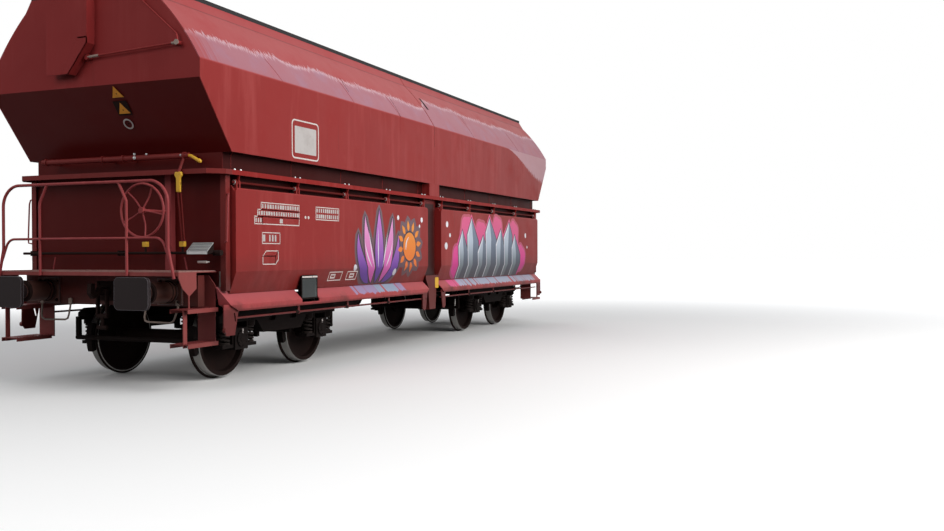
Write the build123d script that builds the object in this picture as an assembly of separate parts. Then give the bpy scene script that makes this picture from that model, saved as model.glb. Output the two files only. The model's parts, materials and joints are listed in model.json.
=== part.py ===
from build123d import *
import os
from math import sqrt

os.makedirs("parts", exist_ok=True)

# An open bogie hopper wagon that discharges to both sides. Millimetres, X along the wagon with
# the hand-brake end at -X, Z up. "Right" is the -Y side, "left" is the +Y side. Heights below
# are measured from the top of the rail; every node is lifted by the wheel flange when written,
# so that the wagon stands on z = 0.

# Whole wagon
length_over_buffers = 12540
pivot_spacing = 7500
bogie_wheelbase = 1800
fit = 0.3

# Places along the wagon, counted from its middle
buffer_reach = 620
end_setback = 290
end_overhang = 540
headstock_x = length_over_buffers / 2 - buffer_reach
end_wall_x = headstock_x - end_setback
body_half_length = end_wall_x + end_overhang

# Hopper body. The side wall stands upright to the knuckle, curves in over the shoulder, and ends
# in a short upstand below the rim.
body_half_width = 1480
wall = 12
side_low_z = 2590
lip_z = 3320
knuckle_z = 3520
shoulder_run = 530
shoulder_rise = 690
shoulder_bulge = 32
upstand_run = 88
upstand_rise = 140
rim_height = 50
rim_width = 60
curve_top_y = body_half_width - shoulder_run
curve_top_z = knuckle_z + shoulder_rise
rim_y = curve_top_y - upstand_run
rim_base_z = curve_top_z + upstand_rise

# Saddle floor, at 45 degrees down to its edges
saddle_inset = 180
saddle_low_z = 1100
saddle_plate = 10
saddle_edge_y = body_half_width - saddle_inset
ridge_z = saddle_low_z + saddle_edge_y

# Doors and their hinge line
door_inner_x = 260
door_end_gap = 60
door_top_z = 2200
door_crease_z = 1265
door_thickness = 60
door_cheek = 115
door_cheek_t = 14
door_cheek_rise = 25
door_cheek_slope = 70
door_seat_gap = 8
door_corner_r = 60
door_edge_r = 22
door_toe_inset = 93
hinge_inset = 60
hinge_rise = 62
hinge_bar_d = 36
hinge_play = 0.5
lug_r = 32
lug_width = 24
lug_side_gap = 8
hinge_wall_inset = 130
beam_proud = 3
beam_rise = 76
beam_depth = 55
beam_t = 8
beam_overhang = 260
beam_chamfer = 150
gusset_margin = 92
gusset_count = 5
gusset_t = 14
door_outer_x = end_wall_x - door_end_gap
beam_y = body_half_width + beam_proud
door_toe_y = beam_y - door_toe_inset
hinge_y = body_half_width - hinge_inset
hinge_wall_y = body_half_width - hinge_wall_inset
hinge_z = door_top_z + hinge_rise
beam_bottom_z = hinge_z + beam_rise
beam_end_x = end_wall_x + beam_overhang
gusset_x0 = door_inner_x + gusset_margin
gusset_pitch = (door_outer_x - gusset_margin - gusset_x0) / (gusset_count - 1)

# Side sills (the chutes below the doors) and the locking rod
sill_proud = 20
sill_bottom_z = 830
sill_inner_x = 250
sill_inner_cut = 80
sill_end_reach = 60
sill_end_cut = 143
sill_plate = 12
sill_flange = 150
rod_drop = 82
rod_inset = 60
rod_d = 24
rod_hanger_w = 40
rod_hanger_t = 12
rod_margin = 40
sill_y = body_half_width + sill_proud
sill_end_x = end_wall_x + sill_end_reach
rod_y = sill_y - rod_inset
rod_z = sill_bottom_z - rod_drop

# Posts, legs and the bracket between the doors
post_gap = 20
post_length = 80
post_depth = 70
post_plate = 12
mid_post_half = 180
mid_post_inset = 95
bracket_inset = 40
pillar_half = 190
bracket_half = 245
bracket_waist = 145
bracket_foot = 115
bracket_top_z = 1115
bracket_waist_z = 915
leg_bottom_z = 565
leg_slot_length = 105
leg_slot_width = 26
leg_slot_back = 105
leg_slot_drop = 68
leg_hole_in = 75
leg_hole_drop = 88
leg_boss_d = 56
leg_boss_out = 76
leg_boss_rise = 60
outer_leg_length = 317
outer_leg_back = 220
inner_leg_length = 178
inner_leg_in = 15
leg_lug = 40
outer_lug_back = 200
inner_lug_in = 140
post_x0 = door_outer_x + post_gap
post_x1 = post_x0 + post_length
post_y = hinge_wall_y + post_depth
mid_post_y = body_half_width - mid_post_inset
bracket_y = body_half_width - bracket_inset
post_z0 = ridge_z - hinge_wall_y + 5

# Cross webs under the saddle
web_t = 12
web_drop = 55
web_pitch = 1000
web_edge_margin = 10
web_hole_y = 130
web_hole_z = 1400
web_hole_size = 560
web_bottom_z = saddle_low_z - web_drop
web_edge_y = saddle_edge_y - web_edge_margin
web_xs = (-post_x0, -pivot_spacing / 2, -2 * web_pitch, -web_pitch, 0, web_pitch, 2 * web_pitch,
          pivot_spacing / 2, post_x0)

# Document holder on the door of the brake end, right side
holder_x0 = 3630
holder_length = 300
holder_height = 265
holder_crease_gap = 75
holder_inset = 5
holder_x1 = holder_x0 + holder_length
holder_y1 = beam_y - holder_inset
holder_z1 = door_crease_z - holder_crease_gap
holder_z0 = holder_z1 - holder_height

# Cross ties
tie_xs = (-2950, 0, 2950)
tie_drop = 120
tie_d = 76
tie_z = knuckle_z - tie_drop

# Underframe, its widths counted inwards from the saddle's edge
centre_sill_w = 400
centre_sill_z0 = 950
centre_sill_z1 = 1260
centre_sill_plate = 16
headstock_t = 110
headstock_inset = 60
headstock_z0 = 890
headstock_plate = 14
headstock_margin = 40
bolster_w = 340
bolster_inset = 150
bolster_z0 = 940
bolster_taper = 220
bolster_taper_rise = 90
bolster_clearance = 15
bearer_y = 850
bearer_z = 919
bearer_gap = 6
bearer_half_w = 60
bearer_length = 240
stringer_inset = 260
stringer_t = 14
headstock_half_w = saddle_edge_y - headstock_inset
bolster_half_w = saddle_edge_y - bolster_inset
bolster_z1 = ridge_z - bolster_half_w - bolster_clearance
stringer_y = saddle_edge_y - stringer_inset

# Air brake equipment
tank_x0 = 940
tank_x1 = 2060
tank_y = 520
tank_z = 800
tank_r = 160
tank_strap = 8
cylinder_x0 = 700
cylinder_length = 450
cylinder_d = 300

# Running gear
wheel_d = 920
flange_h = 28
wheel_inner_y = 680
wheel_width = 135
axle_r = 80
journal_r = 65
journal_y0 = 900
journal_y1 = 1060
frame_y = 1000
frame_t = 120
box_play = 0.5
pivot_r = 150
pivot_seat = 0.5
cup_wall = 35
cup_floor_z = 870
box_half = 125
box_y0 = 932
box_y1 = 1080
wing_half = 330
wing_z = 400
horn_gap = 6
horn_z0 = 406
spring_dx = 235
spring_r = 72
spring_top_z = 604
block_gap = 10
block_t = 55
brake_beam_gap = 70
brake_beam_d = 56
brake_beam_end = 925
hanger_t = 44
frame_end_reach = 390
beam_hole_z = 680
cross_z0 = 640
axle_z = wheel_d / 2
frame_end = bogie_wheelbase / 2 + frame_end_reach

# Buffers and coupling
buffer_y = 875
buffer_z = 1050
buffer_casing_r = 115
buffer_plunger_r = 85
buffer_head_w = 450
buffer_head_h = 345
buffer_head_t = 35
buffer_casing_length = 390
buffer_plate = 22
hook_t = 56
hook_reach = 300
hook_jaw = 90
hook_plate_half_w = 150
hook_plate_half_h = 110
hook_plate_t = 20
link_reach = 95
link_half = 66
link_bar = 44
trunnion_rise = 130
coupling_z0 = 640
buffer_head_x = length_over_buffers / 2
buffer_casing_x = headstock_x + buffer_casing_length

# Brake platform and corner steps
platform_z = 1270
platform_t = 40
platform_reach = 370
platform_inset = 15
side_plate_length = 290
side_plate_drop = 260
side_plate_t = 10
deck_t = 8
deck_rib_ys = (-1000, -420, 420, 1000)
step_setback = 230
step_reach = 280
step_overhang = 30
step_low_z = 505
step_high_z = 875
step_t = 8
step_lip = 45
step_slope = 170
platform_x = headstock_x + platform_reach
platform_half_w = saddle_edge_y - platform_inset
step_x0 = headstock_x - step_setback
step_x1 = headstock_x + step_reach
step_y1 = saddle_edge_y + step_overhang
step_plate_y = saddle_edge_y - sill_plate

# Hand rails
rail_d = 34
low_rail_d = 27
upright_d = 30
rail_knee_z = 1520
rail_foot_inset = 45
rail_foot_z = 1200
rail_inset = 120
rail_top_z = 2240
rail_low_z = 1635
rail_bend = 240
low_rail_bend = 130
upright_y = 615
upright_head_y = 505
upright_bend_z = 2035
rail_foot_y = platform_half_w - rail_foot_inset
rail_half_w = platform_half_w - rail_inset

# Handwheel, door control tube and cross shaft
wheel_rim_r = 290
wheel_rim_d = 26
wheel_rim_sides = 12
handwheel_y = -662
handwheel_z = 1938
handwheel_reach = 200
gear_case_reach = 75
gear_case_half_w = 42
spoke_count = 5
spoke_turn = 28
spoke_d = 18
spoke_dish = 26
control_reach = 200
control_z = 2545
control_d = 64
control_half_w = 1060
control_arm_ys = (-1000, -150, 150, 1000)
control_arm_half = 26
grip_y = -1000
grip_z0 = 2140
grip_z1 = 2350
grip_half = 22
grip_gap = 22
rod_d_thick = 16
rod_d_thin = 12
shaft_reach = 140
shaft_z = 1475
shaft_overhang = 20
shaft_d = 30
lever_ys = (-918, -400)
lever_half = 30
rod_foot_gap = 15
rod_foot_shift = 42
lever_z0 = 1545
lever_z1 = 1600
pedal_y0 = -1340
pedal_y1 = -1073
pedal_reach = 120
pedal_rise = 97
pedal_z = 1485
pedal_lip = 22
pedal_t = 6
handwheel_x = headstock_x + handwheel_reach
gear_case_x = end_wall_x + gear_case_reach
control_x = end_wall_x + control_reach
shaft_x = end_wall_x + shaft_reach
shaft_half_w = post_y + shaft_overhang

# End linkage
column_half = 65
column_deep = 120
column_rise = 310
arm_inner_y = 300
arm_outer_y = 520
arm_drop = 380
arm_t = 10
pivot_rise = 112
pivot_d = 60
linkage_rod_d = 22
linkage_thin_d = 16
linkage_boss_d = 44
linkage_gap = 45
elbow_inset = 250
elbow_rise = 170
rod_head_run = 460
rod_head_rise = 400
column_z0 = knuckle_z + column_rise
pivot_z = knuckle_z + pivot_rise

lift = Pos(0, 0, flange_h)
written = []


def save(name, *pieces):
    """Write one node: its solids, raised so that the flanges touch z = 0."""
    solids = []
    for piece in pieces:
        solids += (lift * piece).solids()
    export_step(Compound(children=solids), f"parts/{name}.step")
    written.append(name)


def block(x0, x1, y0, y1, z0, z1):
    """A box given by its two corners."""
    centre = Pos((x0 + x1) / 2, (y0 + y1) / 2, (z0 + z1) / 2)
    return centre * Box(abs(x1 - x0), abs(y1 - y0), abs(z1 - z0))


def outline(*points):
    """A flat face with straight edges through the points."""
    return make_face(Polyline(*points, close=True))


def shaped(start, length, level, height, line):
    """A flat face whose corners are listed as shares of a length and of a height."""
    return outline(*[(start + along * length, level + up * height) for along, up in line])


def along_x(face, x0, x1):
    """A face drawn in (y, z), carried from x0 to x1."""
    return extrude(Plane.YZ.offset(x0) * face, x1 - x0)


def along_y(face, y0, y1):
    """A face drawn in (x, z), carried from y0 to y1."""
    return extrude(Plane.XZ.offset(-y0) * face, -(y1 - y0))


def bar(start, end, d):
    """A round bar between two points."""
    a = Vector(*start)
    b = Vector(*end)
    return extrude(Plane(a, z_dir=b - a) * Circle(d / 2), (b - a).length)


def cross_bar(x, half, z, d):
    """A round bar across the wagon, from -half to half."""
    return bar((x, -half, z), (x, half, z), d)


def bent_tube(points, radius, d):
    """A round bar along straight runs joined by arcs of one radius."""
    path = FilletPolyline(*points, radius=radius)
    return sweep(Plane(path @ 0, z_dir=path % 0) * Circle(d / 2), path=path)


def folded(points, t, side=Side.RIGHT):
    """The section of a folded plate, t thick on one side of the line through the points."""
    return make_face(offset(Polyline(*points), t, kind=Kind.INTERSECTION, side=side))


def both_sides(piece):
    """The right-hand piece and its mirror on the left."""
    return [piece, mirror(piece, Plane.XZ)]


def both_ends(piece):
    """The piece of the brake end and its mirror at the plain end."""
    return [piece, mirror(piece, Plane.YZ)]


def four_corners(piece):
    """The piece and its mirrors at the other three corners."""
    return [copy for side in both_sides(piece) for copy in both_ends(side)]


# Hopper section: upright to the knuckle, one flat arc over the shoulder, and a short upstand.
def hopper_room(inset, z0, z1):
    """The space inside the side walls moved in by inset, from z0 to z1, as a face in (y, z)."""
    run_on = 200
    low = side_low_z - run_on
    top_y = rim_y - run_on * upstand_run / upstand_rise
    top_z = rim_base_z + run_on
    chord = Vector(-shoulder_run, shoulder_rise)
    bulge = Vector(chord.Y, -chord.X).normalized() * shoulder_bulge
    mid_y = body_half_width - shoulder_run / 2 + bulge.X
    mid_z = knuckle_z + shoulder_rise / 2 + bulge.Y

    def wall_line(side):
        knuckle = (side * body_half_width, knuckle_z)
        curve_top = (side * curve_top_y, curve_top_z)
        return [
            Line((side * body_half_width, low), knuckle),
            ThreePointArc(knuckle, (side * mid_y, mid_z), curve_top),
            Line(curve_top, (side * top_y, top_z)),
        ]

    top = Line((top_y, top_z), (-top_y, top_z))
    bottom = Line((-body_half_width, low), (body_half_width, low))
    room = make_face(Wire([*wall_line(1), top, *reversed(wall_line(-1)), bottom]))
    if inset > 0:
        room = offset(room, -inset, kind=Kind.ARC)
    band = Pos(0, (z0 + z1) / 2) * Rectangle(2 * body_half_width + 2, z1 - z0)
    return room & band


# What the sloping end takes off a side wall's lower corner, at the far end.
end_slope = outline(
    (body_half_length + 1, lip_z), (end_wall_x, side_low_z), (end_wall_x, side_low_z - 1),
    (body_half_length + 1, side_low_z - 1),
)
left_half = Pos(body_half_width, knuckle_z) * Rectangle(2 * body_half_width, 4 * knuckle_z)
hollow = hopper_room(wall, side_low_z - 1, rim_base_z + 1)
section = (hopper_room(0, side_low_z, rim_base_z) - hollow) & left_half
full_wall = along_x(section, 0, body_half_length) - along_y(end_slope, 0, body_half_width + 1)
for side, flip in (("left", False), ("right", True)):
    far_wall = mirror(full_wall, Plane.XZ) if flip else full_wall
    save(f"side_wall_{side}_plain_end", far_wall)
    save(f"side_wall_{side}_brake_end", mirror(far_wall, Plane.YZ))

# End walls: an upright plate up to the rim, a slope inwards below the lip, and an upright plate
# again from the top of the doors down to the underframe.
end_fold = folded(
    [
        (body_half_length, rim_base_z), (body_half_length, lip_z),
        (end_wall_x, side_low_z), (end_wall_x, platform_z),
    ],
    wall,
)
end_sheet = along_y(end_fold, -body_half_width, body_half_width)
upper_face = hopper_room(wall + fit, side_low_z, rim_base_z)
upper_room = along_x(upper_face, end_wall_x - wall - 1, body_half_length + 1)
lower_room = block(end_wall_x - wall - 1, body_half_length, -hinge_wall_y, hinge_wall_y, platform_z,
                   side_low_z)
end_wall = (end_sheet & upper_room) + (end_sheet & lower_room)
for name, piece in zip(("end_wall_plain_end", "end_wall_brake_end"), both_ends(end_wall)):
    save(name, piece)

# Saddle floor: two plates that meet in a ridge over the centre sill, with webs below.
def saddle_z(y):
    """Height of the saddle's upper face, which falls at 45 degrees from the ridge."""
    return ridge_z - abs(y)


saddle_half = along_x(
    folded([(0, ridge_z), (saddle_edge_y, saddle_z(saddle_edge_y))], saddle_plate),
    -(end_wall_x - wall - fit), end_wall_x - wall - fit,
)
saddle_half = split(saddle_half, Plane.XZ, keep=Keep.BOTTOM)
save("saddle_floor", saddle_half + mirror(saddle_half, Plane.XZ))

saddle_under = saddle_plate * sqrt(2) + fit
web_outline = outline(
    (-web_edge_y, web_bottom_z), (web_edge_y, web_bottom_z),
    (web_edge_y, saddle_z(web_edge_y) - saddle_under), (0, ridge_z - saddle_under),
    (-web_edge_y, saddle_z(web_edge_y) - saddle_under),
)
web_hole = fillet(
    outline((web_hole_y, web_hole_z), (web_hole_y, web_hole_z + web_hole_size),
            (web_hole_y + web_hole_size, web_hole_z)).vertices(),
    50,
)
web_face = web_outline - web_hole - mirror(web_hole, Plane.YZ)
web_face -= Pos(0, web_bottom_z) * Rectangle(centre_sill_w + 2 * fit,
                                             2 * (centre_sill_z1 + fit - web_bottom_z))
webs = [along_x(web_face, x - web_t / 2, x + web_t / 2) for x in web_xs]
save("saddle_webs", *webs)

# Door beams: a folded ring round the body at the top of the doors, with gussets and the hinge bar
# below it, and the wall behind the hinges.
ring_outline = chamfer(Rectangle(2 * beam_end_x, 2 * beam_y).vertices(), beam_chamfer)
ring_inner = Rectangle(2 * (end_wall_x + fit), 2 * (hinge_wall_y + fit))
ring_top = Pos(0, 0, beam_bottom_z + beam_depth - beam_t) * extrude(ring_outline - ring_inner, beam_t)
ring_skirt = extrude(ring_outline - offset(ring_outline, -beam_t, kind=Kind.INTERSECTION), beam_depth)
ring = ring_top + Pos(0, 0, beam_bottom_z) * ring_skirt
beam_left = ring & block(-end_wall_x, end_wall_x, hinge_wall_y, beam_y + 1, beam_bottom_z - 1, side_low_z)
beam_end = ring & block(end_wall_x, beam_end_x + 1, -beam_y - 1, beam_y + 1, beam_bottom_z - 1, side_low_z)

hinge_wall_top = side_low_z + 130
hinge_wall_reach = end_wall_x - wall - fit
hinge_wall = along_x(
    folded(
        [(body_half_width - wall - fit, hinge_wall_top), (hinge_wall_y, side_low_z + wall),
         (hinge_wall_y, door_top_z - wall)],
        saddle_plate,
    ),
    -hinge_wall_reach, hinge_wall_reach,
)
hinge_room = hopper_room(wall + fit, side_low_z, rim_base_z)
hinge_room += Pos(0, side_low_z) * Rectangle(2 * hinge_wall_y, 2 * (side_low_z - door_top_z + wall))
hinge_wall = hinge_wall & along_x(hinge_room, -body_half_length, body_half_length)
beam_under = beam_bottom_z + beam_depth - beam_t
gusset_face = outline(
    (hinge_wall_y, beam_under), (beam_y - beam_t, beam_under), (beam_y - beam_t, beam_bottom_z + beam_t),
    (hinge_y + lug_r, hinge_z), (hinge_wall_y, hinge_z - lug_r),
)
gusset_face += Pos(hinge_y, hinge_z) * Circle(lug_r)
gusset_xs = [gusset_x0 + k * gusset_pitch for k in range(gusset_count)]
gussets = [
    along_x(gusset_face, side * x - gusset_t / 2, side * x + gusset_t / 2)
    for x in gusset_xs for side in (-1, 1)
]
hinge_bar = bar((door_inner_x, hinge_y, hinge_z), (door_outer_x, hinge_y, hinge_z), hinge_bar_d)
beam_left = beam_left + hinge_wall + gussets + both_ends(hinge_bar)
for name, piece in zip(("door_beam_left", "door_beam_right"), both_sides(beam_left)):
    save(name, piece)
save("end_beams", *both_ends(beam_end))

# Doors: one thick panel each, upright to the crease, then leaning in to the saddle, with a deep
# cheek at both ends that is cut back at its upper front corner.
seat = door_seat_gap * sqrt(2)
toe_z = saddle_z(door_toe_y) + seat
cheek_y = beam_y - door_cheek
below_seat = outline(
    (beam_y, saddle_z(beam_y) + seat), (cheek_y - door_cheek, saddle_z(cheek_y - door_cheek) + seat),
    (cheek_y - door_cheek, 0), (beam_y, 0),
)
door_line = Polyline((beam_y, door_top_z), (beam_y, door_crease_z), (door_toe_y, toe_z))
door_face = make_face(offset(door_line, door_thickness, kind=Kind.INTERSECTION, side=Side.RIGHT)) - below_seat
top_corner = door_face.vertices().sort_by(Axis.Y)[-2:].sort_by(Axis.X)[-1]
door_face = fillet(top_corner, door_edge_r)
door_slab = along_x(door_face, door_inner_x, door_outer_x)
door_front = RectangleRounded(door_outer_x - door_inner_x, 2 * door_top_z, door_corner_r)
door_middle_x = (door_outer_x + door_inner_x) / 2
door_room = along_y(Pos(door_middle_x, 0) * door_front, cheek_y - 1, beam_y + 1)
cheek_face = outline(
    (cheek_y, door_top_z + door_cheek_rise), (beam_y - door_thickness, door_top_z + door_cheek_rise),
    (beam_y, door_top_z - door_cheek_slope), (beam_y, door_crease_z), (door_toe_y, toe_z),
    (cheek_y, saddle_z(cheek_y) + seat),
)
cheeks = [
    along_x(cheek_face, door_inner_x, door_inner_x + door_cheek_t),
    along_x(cheek_face, door_outer_x - door_cheek_t, door_outer_x),
]
lug_face = Pos(hinge_y, hinge_z) * Circle(lug_r)
lug_foot_y = beam_y - door_thickness
lug_foot_z = door_top_z - 10
lug_face += outline(
    (lug_foot_y, lug_foot_z), (hinge_y + lug_r, lug_foot_z), (hinge_y + lug_r, hinge_z),
    (lug_foot_y, hinge_z),
)
lug_face -= Pos(hinge_y, hinge_z) * Circle(hinge_bar_d / 2 + hinge_play)
lug_shift = gusset_t / 2 + lug_side_gap + lug_width / 2
lugs = [
    along_x(lug_face, x + side * lug_shift - lug_width / 2, x + side * lug_shift + lug_width / 2)
    for x in gusset_xs for side in (-1, 1)
]
door = (door_slab & door_room) + cheeks + lugs
for name, piece in zip(("plain_end", "brake_end"), both_ends(door)):
    save(f"door_left_{name}", piece)
    save(f"door_right_{name}", mirror(piece, Plane.XZ))

# Corner posts, and the post between the doors of each side with its bracket and short pillar.
def post(x0, x1, z0, z1, y0, y1, plate):
    """A folded channel with its back outwards, standing from z0 to z1."""
    line = [(x0, y0), (x0, y1), (x1, y1), (x1, y0)]
    return Pos(0, 0, z0) * extrude(folded(line, plate), z1 - z0)


corner_post = post(post_x0, post_x1, post_z0, beam_bottom_z, hinge_wall_y + fit, post_y, post_plate)
save("corner_posts", *four_corners(corner_post))

middle_post = post(-mid_post_half, mid_post_half, bracket_top_z, beam_bottom_z, hinge_wall_y + fit,
                   mid_post_y, post_plate)
pillar = post(-pillar_half, pillar_half, beam_bottom_z + beam_depth, side_low_z, hinge_wall_y + fit,
              body_half_width, post_plate)
bracket_face = outline(
    (-bracket_half, bracket_top_z), (bracket_half, bracket_top_z), (bracket_half, bracket_top_z - 55),
    (bracket_waist, bracket_waist_z), (bracket_waist, sill_bottom_z), (bracket_foot, leg_bottom_z),
    (-bracket_foot, leg_bottom_z), (-bracket_waist, sill_bottom_z), (-bracket_waist, bracket_waist_z),
    (-bracket_half, bracket_top_z - 55),
)
bracket_y0 = saddle_edge_y + fit
bracket = along_y(bracket_face, bracket_y - post_plate, bracket_y)
bracket += block(-bracket_half, bracket_half, bracket_y0, bracket_y, bracket_top_z - post_plate,
                 bracket_top_z)
for x in (-bracket_foot, bracket_foot - post_plate):
    bracket += block(x, x + post_plate, bracket_y0, bracket_y, leg_bottom_z, bracket_top_z)
save("middle_posts", *both_sides(bracket + middle_post), *both_sides(pillar))

# Side sills: the chute's upper face carries on the slope of the saddle, then folds down and in. Its
# ends are cut on the slant, a plate closes the outer one, and a leg for the lock hangs from both.
sill_line = [
    (saddle_edge_y + fit, saddle_z(saddle_edge_y + fit)), (sill_y, saddle_z(sill_y)),
    (sill_y, sill_bottom_z), (sill_y - sill_flange, sill_bottom_z),
]
sill_top_z = saddle_z(sill_y)
sill_outer_cut = outline(
    (sill_end_x, sill_top_z), (sill_end_x - sill_end_cut, sill_bottom_z), (sill_end_x - sill_end_cut, 0),
    (sill_end_x + 1, 0), (sill_end_x + 1, sill_top_z),
)
sill_inner_slant = outline(
    (sill_inner_x, sill_top_z), (sill_inner_x + sill_inner_cut, sill_bottom_z),
    (sill_inner_x + sill_inner_cut, 0), (sill_inner_x - 1, 0), (sill_inner_x - 1, sill_top_z),
)
end_plate_face = outline(
    (sill_end_x, saddle_z(saddle_edge_y)), (sill_end_x, sill_top_z),
    (sill_end_x - sill_end_cut, sill_bottom_z),
    (sill_end_x - sill_end_cut - sill_plate, sill_bottom_z), (sill_end_x - sill_plate, sill_top_z),
    (sill_end_x - sill_plate, saddle_z(saddle_edge_y)),
)
sill = along_x(folded(sill_line, sill_plate), sill_inner_x, sill_end_x)
for cut in (sill_outer_cut, sill_inner_slant):
    sill -= along_y(cut, saddle_edge_y, sill_y + 1)
sill += along_y(end_plate_face, saddle_edge_y, sill_y) & along_x(outline(*sill_line), 0, sill_end_x)
leg_y1 = sill_y - 2 * sill_plate
leg_y0 = leg_y1 - sill_plate
leg_drop = sill_bottom_z - leg_bottom_z
outer_leg = shaped(
    sill_end_x - outer_leg_back, outer_leg_length, sill_bottom_z, leg_drop,
    [(0, 0.151), (0.473, 0.264), (0.984, 0.294), (1, -0.792), (0.852, -1), (0.375, -1), (0.177, -0.083)],
)
slot = SlotOverall(leg_slot_length, leg_slot_width, rotation=75)
outer_leg -= Pos(sill_end_x - leg_slot_back, sill_bottom_z - leg_slot_drop) * slot
inner_leg = shaped(
    sill_inner_x + inner_leg_in, inner_leg_length, sill_bottom_z, leg_drop,
    [(0, 0.151), (0.983, 0.151), (1, -0.868), (0.758, -1), (0.365, -0.943)],
)
inner_leg -= Pos(sill_inner_x + leg_hole_in, sill_bottom_z - leg_hole_drop) * Circle(leg_slot_width / 2)
sill += along_y(outer_leg, leg_y0, leg_y1) + along_y(inner_leg, leg_y0, leg_y1)
for x in (sill_end_x - outer_lug_back, sill_inner_x + inner_lug_in):
    sill += block(x, x + leg_lug, leg_y0, sill_y - 1, sill_bottom_z + 1, sill_bottom_z + leg_lug)
boss_x = sill_end_x + leg_boss_out
boss_z = leg_bottom_z + leg_boss_rise
sill += bar((boss_x, leg_y0, boss_z), (boss_x, sill_y, boss_z), leg_boss_d)
hangers = [
    block(x - rod_hanger_w, x, rod_y - rod_hanger_t / 2, rod_y + rod_hanger_t / 2, rod_z - rod_d,
          sill_bottom_z + 1)
    for x in gusset_xs[1:-1]
]
rod_end_x = sill_end_x - sill_end_cut - rod_margin / 2
lock_rod = bar((sill_inner_x + rod_margin, rod_y, rod_z), (rod_end_x, rod_y, rod_z), rod_d)
sill = sill + hangers + lock_rod
notch = block(-holder_x1 - 50, -holder_x0 + 50, saddle_edge_y + 60, sill_y + 1, holder_z0 - 60, ridge_z)
right_sills = [mirror(piece, Plane.XZ) for piece in both_ends(sill)]
right_notch = mirror(notch, Plane.XZ)
save("sill_left", *both_ends(sill))
save("sill_right", *[piece - right_notch for piece in right_sills])

holder_wall = 8
holder_y0 = door_toe_y + 14
holder_shell = block(-holder_x1, -holder_x0, holder_y0, holder_y1, holder_z0, holder_z1)
holder_shell -= block(-holder_x1 + holder_wall, -holder_x0 - holder_wall, holder_y1 - 22, holder_y1 + 1,
                      holder_z0 + holder_wall, holder_z1 - 12)
door_lean_room = along_x(offset(door_face, fit), -holder_x1 - 1, -holder_x0 + 1)
save("document_holder", mirror(holder_shell - door_lean_room, Plane.XZ))

# Underframe: a box centre sill, bolsters over the bogies, and a headstock at each end.
sill_outer = Rectangle(centre_sill_w, centre_sill_z1 - centre_sill_z0)
sill_hollow = offset(sill_outer, -centre_sill_plate, kind=Kind.INTERSECTION)
sill_tube = Pos(0, (centre_sill_z0 + centre_sill_z1) / 2) * (sill_outer - sill_hollow)
headstock_back = headstock_x - headstock_t
centre_sill = along_x(sill_tube, -headstock_back + fit, headstock_back - fit)
save("centre_sill", centre_sill)

bolster_knee_z = bolster_z0 + bolster_taper_rise
bolster_face = outline(
    (-bolster_half_w, bolster_z1), (-bolster_half_w, bolster_knee_z),
    (-bolster_half_w + bolster_taper, bolster_z0), (bolster_half_w - bolster_taper, bolster_z0),
    (bolster_half_w, bolster_knee_z), (bolster_half_w, bolster_z1),
)
bolster = along_x(bolster_face, -bolster_w / 2, bolster_w / 2)
sill_gap = centre_sill_w / 2 + fit
web_gap = web_t / 2 + fit
bolster -= block(-bolster_w, bolster_w, -sill_gap, sill_gap, centre_sill_z0 - fit, ridge_z)
bolster -= block(-web_gap, web_gap, -bolster_half_w, bolster_half_w, web_bottom_z - fit, ridge_z)
bolster += Pos(0, 0, cup_floor_z + pivot_seat) * extrude(Circle(pivot_r), bolster_z0 - cup_floor_z)
for y in (-bearer_y, bearer_y):
    bolster += block(-bearer_length / 2, bearer_length / 2, y - bearer_half_w, y + bearer_half_w,
                     bearer_z + bearer_gap, bolster_z0 + 1)
bolsters = [Pos(end * pivot_spacing / 2, 0, 0) * bolster for end in (-1, 1)]
save("bolsters", *bolsters)

under_deck_z = platform_z - platform_t - fit
end_frame = block(end_wall_x - wall, end_wall_x, -web_edge_y, web_edge_y, centre_sill_z0, platform_z - fit)
end_frame -= block(0, headstock_x, -sill_gap, sill_gap, 0, centre_sill_z1 + fit)
headstock = block(headstock_back, headstock_x, -headstock_half_w + fit, headstock_half_w - fit, headstock_z0,
                  under_deck_z)
headstock -= block(headstock_back - 1, headstock_x - headstock_plate, -headstock_half_w + headstock_margin,
                   headstock_half_w - headstock_margin, headstock_z0 + headstock_plate,
                   under_deck_z - headstock_plate)
stringer = block(end_wall_x, headstock_x - headstock_plate, stringer_y, stringer_y + stringer_t,
                 centre_sill_z0, under_deck_z)
headstock += end_frame + both_sides(stringer)
for name, piece in zip(("headstock_plain_end", "headstock_brake_end"), both_ends(headstock)):
    save(name, piece)

# Loading opening: a dark coaming all round its edge.
rim_outer = Rectangle(2 * body_half_length, 2 * rim_y)
rim_inner = Rectangle(2 * (body_half_length - rim_width), 2 * (rim_y - rim_width))
save("loading_rim", Pos(0, 0, rim_base_z) * extrude(rim_outer - rim_inner, rim_height))

# Ties across the hopper, between the side walls just below the knuckle.
tie_span = body_half_width - wall - fit
save("cross_ties", *[cross_bar(x, tie_span, tie_z, tie_d) for x in tie_xs])

# Buffers: base plate and casing on the headstock, plunger, and a rounded rectangular head.
buffer = bar((headstock_x, buffer_y, buffer_z), (buffer_casing_x, buffer_y, buffer_z), 2 * buffer_casing_r)
buffer += bar((buffer_casing_x, buffer_y, buffer_z), (buffer_head_x - 5, buffer_y, buffer_z),
              2 * buffer_plunger_r)
plate_half_w = buffer_casing_r + 50
plate_half_h = buffer_casing_r + 30
buffer += block(headstock_x, headstock_x + buffer_plate, buffer_y - plate_half_w, buffer_y + plate_half_w,
                buffer_z - plate_half_h, buffer_z + plate_half_h)
head_face = Pos(buffer_y, buffer_z) * RectangleRounded(buffer_head_w, buffer_head_h, 60)
buffer += along_x(head_face, buffer_head_x - buffer_head_t, buffer_head_x)
save("buffers", *four_corners(buffer))

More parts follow.
